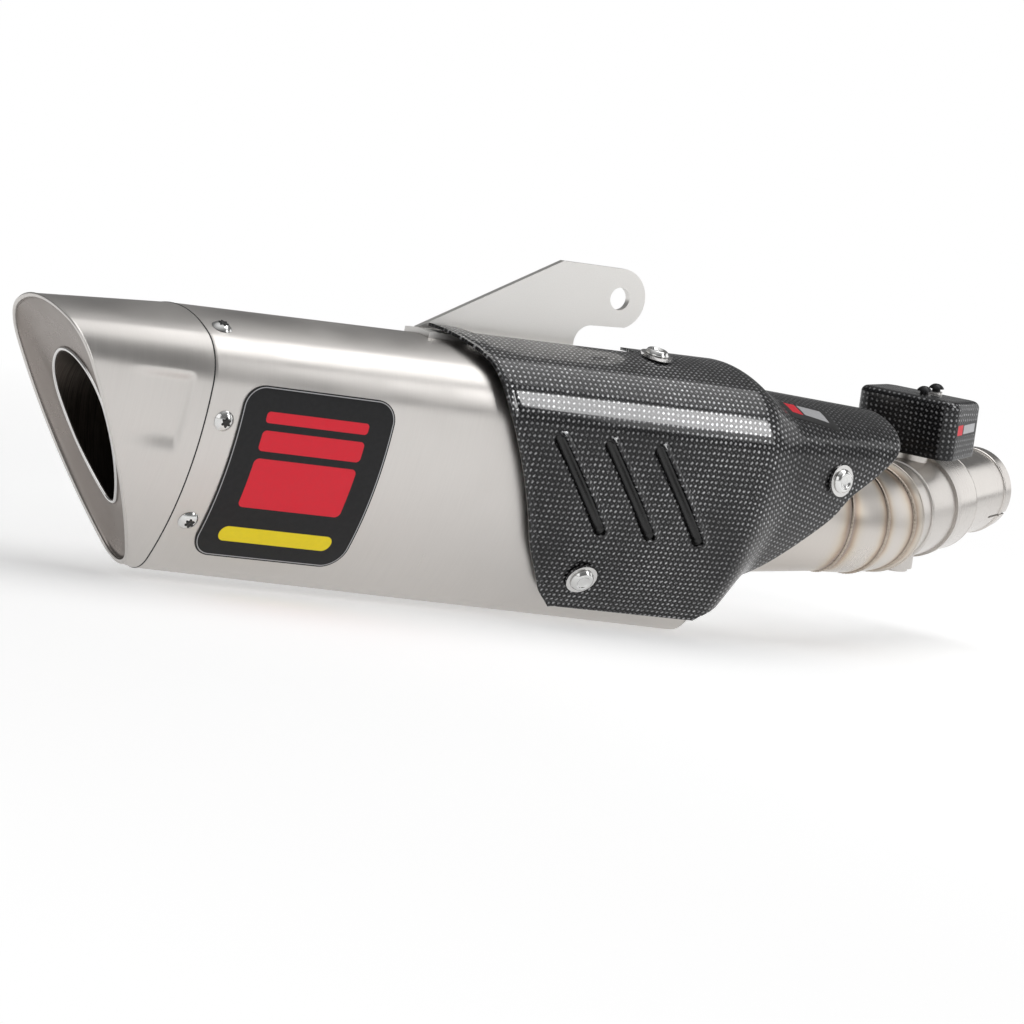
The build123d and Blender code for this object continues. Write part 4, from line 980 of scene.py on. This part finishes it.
class EXHAUST_OT_finishes(bpy.types.Operator):
    """Materials, and the finish of every carried-over node"""
    bl_idname = "exhaust.finishes"
    bl_label = "Finishes"

    def execute(self, context):
        looks = context.scene.exhaust_looks
        groups = {"brushed": brushed_group(), "tint": tint_group(), "weave": weave_group()}
        titanium, rough = tuple(looks.titanium), looks.titanium_roughness
        yaw = np.arctan2(LINK.y, LINK.x)
        round_body = (1500.0, 40.0, 40.0)
        metal("Brushed titanium sleeve", groups, titanium, rough, round_body)
        metal("Brushed titanium cap", groups, titanium, rough, round_body)
        # Painted shade: the outlet funnel is a darker copy of the titanium, standing in for the shade in the
        # recessed mouth of the cap.
        metal("Pressed titanium with painted shade", groups, (0.30, 0.27, 0.25), 0.33, (60.0, 300.0, 300.0), cloud_rough=0.12)
        metal("Polished steel", groups, (0.72, 0.71, 0.70), 0.14, (300.0, 300.0, 300.0), cloud_rough=0.03)
        metal("Bright fasteners", groups, (0.74, 0.74, 0.73), 0.16, (500.0, 500.0, 500.0), line_colour=0.03,
              cloud_rough=0.04)
        metal("Mill steel", groups, (0.42, 0.41, 0.40), 0.4, (200.0, 400.0, 400.0))
        metal("Machined steel", groups, (0.60, 0.57, 0.54), 0.27, (2600.0, 60.0, 60.0), spin=(0, 0, -yaw))
        metal("Cast body", groups, (0.62, 0.59, 0.56), 0.36, (900.0, 900.0, 900.0), line_height=0.00005,
              line_colour=0.06)
        metal("Blasted sheet", groups, (0.84, 0.825, 0.80), 0.42, (1600.0, 1600.0, 1600.0),
              line_height=0.00003, line_colour=0.03, cloud_rough=0.04)
        metal("Dark tube", groups, (0.17, 0.145, 0.125), 0.38, (1800.0, 40.0, 40.0), line_height=0.0002,
              line_colour=0.3)
        metal("Bronze", groups, (0.55, 0.40, 0.20), 0.4, (700.0, 700.0, 700.0))
        metal("Weld bead", groups, (0.50, 0.43, 0.36), 0.32, (500.0, 500.0, 500.0), line_colour=0.15)
        elbow_middle = (ELBOW_START + np.array(ELBOW_END)) / 2
        middle_axis = (Vector((1, 0, 0)) + LINK).normalized()
        welds = [(ELBOW_START, (1, 0, 0), 0.006), (elbow_middle, middle_axis, 0.005),
                 (ELBOW_END, LINK, 0.008)]
        tinted_metal("Heated titanium", groups, (0.60, 0.565, 0.53), 0.33, (900.0, 60.0, 60.0), welds)
        tinted_metal("Heated titanium link", groups, (0.58, 0.545, 0.51), 0.30, (900.0, 60.0, 60.0),
                     [(ELBOW_END, LINK, 0.006)], spin=(0, 0, -yaw))
        carbon("Shield cloth", groups, looks.weave_pitch, 0.85)
        carbon("Cover cloth", groups, looks.weave_pitch, 0.5)
        plain_finish("Black oxide", (0.02, 0.02, 0.021), 0.32, 0.8)
        # Painted shade: this black is used only by the seam ring, the slot troughs and the screw stars, which
        # stand in for shade.
        plain_finish("Painted shade black", (0.004, 0.004, 0.004), 0.3)
        plain_finish("Heat-proof rubber", (0.02, 0.02, 0.02), 0.75)
        plain_finish("Glass wool", (0.75, 0.72, 0.60), 0.95, scale=900.0, height=0.0004)
        red, yellow = tuple(looks.emblem) + (1,), tuple(looks.bar) + (1,)
        black, silver = (0.004, 0.004, 0.005, 1), (0.45, 0.45, 0.46, 1)
        low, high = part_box("badge_plate")
        mark_material("Badge print", (low + high) / 2, (1, 0, 0), (0, 0, 1), black,
                      [(0.0, 31.0, 30.0, 3.0, 2.0, red), (0.0, 18.5, 30.0, 5.5, 2.5, red),
                       (0.0, -4.5, 30.0, 13.5, 3.0, red), (0.0, -33.5, 33.0, 4.2, 4.2, yellow)],
                      border=(43.6, 46.1, 11.0, 0.45, silver))
        for name, node, right, up in (
                ("Shield label print", "shield_label", Vector((1, 0, 0)), Vector((0, -0.75, 0.66))),
                ("Cover label print", "cover_label", LINK, LINK_UP)):
            low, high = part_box(node)
            mark_material(name, (low + high) / 2, right, up, (0.02, 0.02, 0.02, 1),
                          [(-9.5, 0.0, 3.6, 3.0, 0.6, red), (3.5, 0.0, 8.0, 2.6, 0.6, silver)])
        worn = {
            "Dark tube": ["outlet_tube"],
            "Bright fasteners": ["seam_screws", "disc_screws", "pulley_nut", "shield_bolts"],
            "Polished steel": ["shield_washers", "spindle", "butterfly_disc", "cable_pulley"],
            "Mill steel": ["seam_nuts", "outlet_bulkhead", "inlet_bulkhead", "core_tube", "shield_bosses",
                           "return_spring"],
            "Glass wool": ["packing"],
            "Brushed titanium sleeve": ["inlet_shoulder"],
            "Heated titanium": ["inlet_neck", "elbow_segment_1", "elbow_segment_2"],
            "Heated titanium link": ["slip_ring"],
            "Cast body": ["valve_body", "spindle_plug"],
            "Bronze": ["upper_bush", "lower_bush"],
            "Blasted sheet": ["cover_base", "cover_bridge", "mounting_bracket"],
            "Black oxide": ["cover_screws"],
            "Machined steel": ["adapter_collar", "link_pipe"],
            "Heat-proof rubber": ["shield_grommets"],
            "Badge print": ["badge_plate"],
            "Shield label print": ["shield_label"],
            "Cover label print": ["cover_label"],
            "Shield cloth": ["heat_shield"],
            "Cover cloth": ["valve_cover"],
            "Brushed titanium cap": ["end_cap", "sleeve"],
            "Pressed titanium with painted shade": ["outlet_dish"],
        }
        for finish, nodes in worn.items():
            for node in nodes:
                slots = NODES[node].data.materials
                if len(slots):
                    for index in range(len(slots)):
                        slots[index] = bpy.data.materials[finish]
                else:
                    slots.append(bpy.data.materials[finish])
        return {"FINISHED"}


class EXHAUST_OT_studio(bpy.types.Operator):
    """Pale floor, soft lights, world and camera"""
    bl_idname = "exhaust.studio"
    bl_label = "Studio"

    def softbox(self, name, place, target, size, power):
        """Rectangular light that faces its target."""
        light = bpy.data.lights.new(name, "AREA")
        light.shape, light.size, light.size_y, light.energy = "RECTANGLE", size[0], size[1], power
        lamp = bpy.data.objects.new(name, light)
        bpy.context.scene.collection.objects.link(lamp)
        lamp.location = place
        lamp.rotation_euler = (Vector(target) - Vector(place)).to_track_quat("-Z", "Y").to_euler()
        return lamp

    def execute(self, context):
        scene = context.scene
        studio = scene.exhaust_studio
        low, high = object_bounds()
        half = 12.0
        corners = np.array(((-half, -half), (half, -half), (half, half), (-half, half)))
        points = np.column_stack([corners, np.full(4, low.z - 0.0005)])
        mesh = make_mesh("floor", points, np.array([[0, 1, 2, 3]]), closed=False)
        made, tree, shader = material("Pale floor")
        where = put(tree, "ShaderNodeTexCoord").outputs["Object"]
        grain = noise(tree, where, 3.0)["Fac"]
        away = put(tree, "ShaderNodeVectorMath", {0: where, 1: tuple((low + high) / 2)}, operation="DISTANCE")
        far = spread(tree, away.outputs["Value"], 0.45, 1.1, 0.0, 1.0)
        pale = blend(tree, grain, (0.84, 0.84, 0.84, 1), (0.86, 0.86, 0.86, 1))
        tree.links.new(blend(tree, far, pale, (0.0, 0.0, 0.0, 1)), shader.inputs["Base Color"])
        shader.inputs["Emission Color"].default_value = (1.0, 1.0, 1.0, 1)
        glow = calc(tree, "ADD", calc(tree, "MULTIPLY", far, 0.62), 0.38)
        tree.links.new(glow, shader.inputs["Emission Strength"])
        shader.inputs["Roughness"].default_value = 0.9
        shader.inputs["Specular IOR Level"].default_value = 0.0
        mesh.materials.append(made)
        floor = bpy.data.objects.new("floor", mesh)
        scene.collection.objects.link(floor)
        floor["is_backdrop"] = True

        world = bpy.data.worlds.new("Studio")
        scene.world = world
        world.use_nodes = True
        sky = world.node_tree
        background = sky.nodes["Background"]
        direction = put(sky, "ShaderNodeTexCoord").outputs["Generated"]
        height = put(sky, "ShaderNodeSeparateXYZ", {0: direction}).outputs[2]
        ramp = put(sky, "ShaderNodeValToRGB", {"Fac": spread(sky, height, -1.0, 1.0, 0.0, 1.0)})
        stops = ramp.color_ramp.elements
        stops[0].position, stops[0].color = 0.0, (0.8, 0.8, 0.8, 1)
        stops[1].position, stops[1].color = 1.0, (0.9, 0.9, 0.9, 1)
        for place, tone in ((0.46, 0.6), (0.53, 0.30), (0.60, 0.16), (0.85, 0.20)):
            stops.new(place).color = (tone, tone, tone, 1)
        seen = put(sky, "ShaderNodeLightPath").outputs["Is Camera Ray"]
        lit = blend(sky, seen, ramp.outputs["Color"], (1.0, 1.0, 1.0, 1))
        sky.links.new(lit, background.inputs["Color"])
        background.inputs["Strength"].default_value = 1.0

        target = Vector(studio.target)
        azimuth, elevation = studio.azimuth, studio.elevation
        level = np.cos(elevation)
        back = Vector((np.sin(azimuth) * level, -np.cos(azimuth) * level, np.sin(elevation)))
        right = Vector((np.cos(azimuth), np.sin(azimuth), 0.0))
        up = back.cross(right)
        turned_right = right * np.cos(studio.roll) + up * np.sin(studio.roll)
        turned_up = -right * np.sin(studio.roll) + up * np.cos(studio.roll)
        camera_data = bpy.data.cameras.new("camera")
        camera_data.lens, camera_data.sensor_width = studio.lens, 36.0
        camera_data.clip_end = 100.0
        camera = bpy.data.objects.new("camera", camera_data)
        scene.collection.objects.link(camera)
        camera.matrix_world = Matrix.Translation(target + back * studio.distance) @ \
            Matrix((turned_right, turned_up, back)).transposed().to_4x4()
        scene.camera = camera
        scene.view_settings.view_transform = "Standard"
        key = target + Vector((0.538, -0.62, 0.44)).normalized() * 1.6
        self.softbox("key", key, target, (0.5, 0.95), 4.2)
        stripe = self.softbox("stripe", key + Vector((-0.05, 0.0, 0.12)), target, (0.45, 0.62), 13.0)
        cloth = bpy.data.collections.new("Cloth pieces")
        for name in ("shield_cloth", "cover_cloth"):
            cloth.objects.link(bpy.data.objects[name])
        stripe.light_linking.receiver_collection = cloth
        self.softbox("left", target + Vector((-1.5, -1.1, 0.7)), target, (1.3, 1.1), 5.0)
        self.softbox("above", target + Vector((0.75, 0.0, 1.55)), target, (1.5, 0.8), 7.5)
        self.softbox("right", target + Vector((1.75, 0.0, 0.55)), target, (1.3, 0.9), 4.2)
        return {"FINISHED"}


class EXHAUST_PT_panel(bpy.types.Panel):
    """Lists the steps and the settings they read"""
    bl_idname = "EXHAUST_PT_panel"
    bl_label = "Racing exhaust"
    bl_space_type = "VIEW_3D"
    bl_region_type = "UI"
    bl_category = "Exhaust"

    def draw(self, context):
        for step in STEPS:
            self.layout.operator(step.bl_idname)
        for group in SETTINGS:
            settings = getattr(context.scene, group)
            box = self.layout.box()
            for name in type(settings).__annotations__:
                box.prop(settings, name)


STEPS = (EXHAUST_OT_finishes, EXHAUST_OT_end_cap, EXHAUST_OT_sleeve, EXHAUST_OT_heat_shield,
         EXHAUST_OT_screws, EXHAUST_OT_welds, EXHAUST_OT_valve, EXHAUST_OT_studio)
SETTINGS = {"exhaust_looks": ExhaustLooks, "exhaust_shapes": ExhaustShapes, "exhaust_studio": ExhaustStudio}


def register():
    for kind in (*SETTINGS.values(), *STEPS, EXHAUST_PT_panel):
        bpy.utils.register_class(kind)
    for name, kind in SETTINGS.items():
        setattr(bpy.types.Scene, name, bpy.props.PointerProperty(type=kind))


def unregister():
    for name in SETTINGS:
        delattr(bpy.types.Scene, name)
    for kind in reversed((*SETTINGS.values(), *STEPS, EXHAUST_PT_panel)):
        bpy.utils.unregister_class(kind)


def main():
    register()
    for step in STEPS:
        group, name = step.bl_idname.split(".")
        getattr(getattr(bpy.ops, group), name)()


if __name__ == "__main__":
    main()
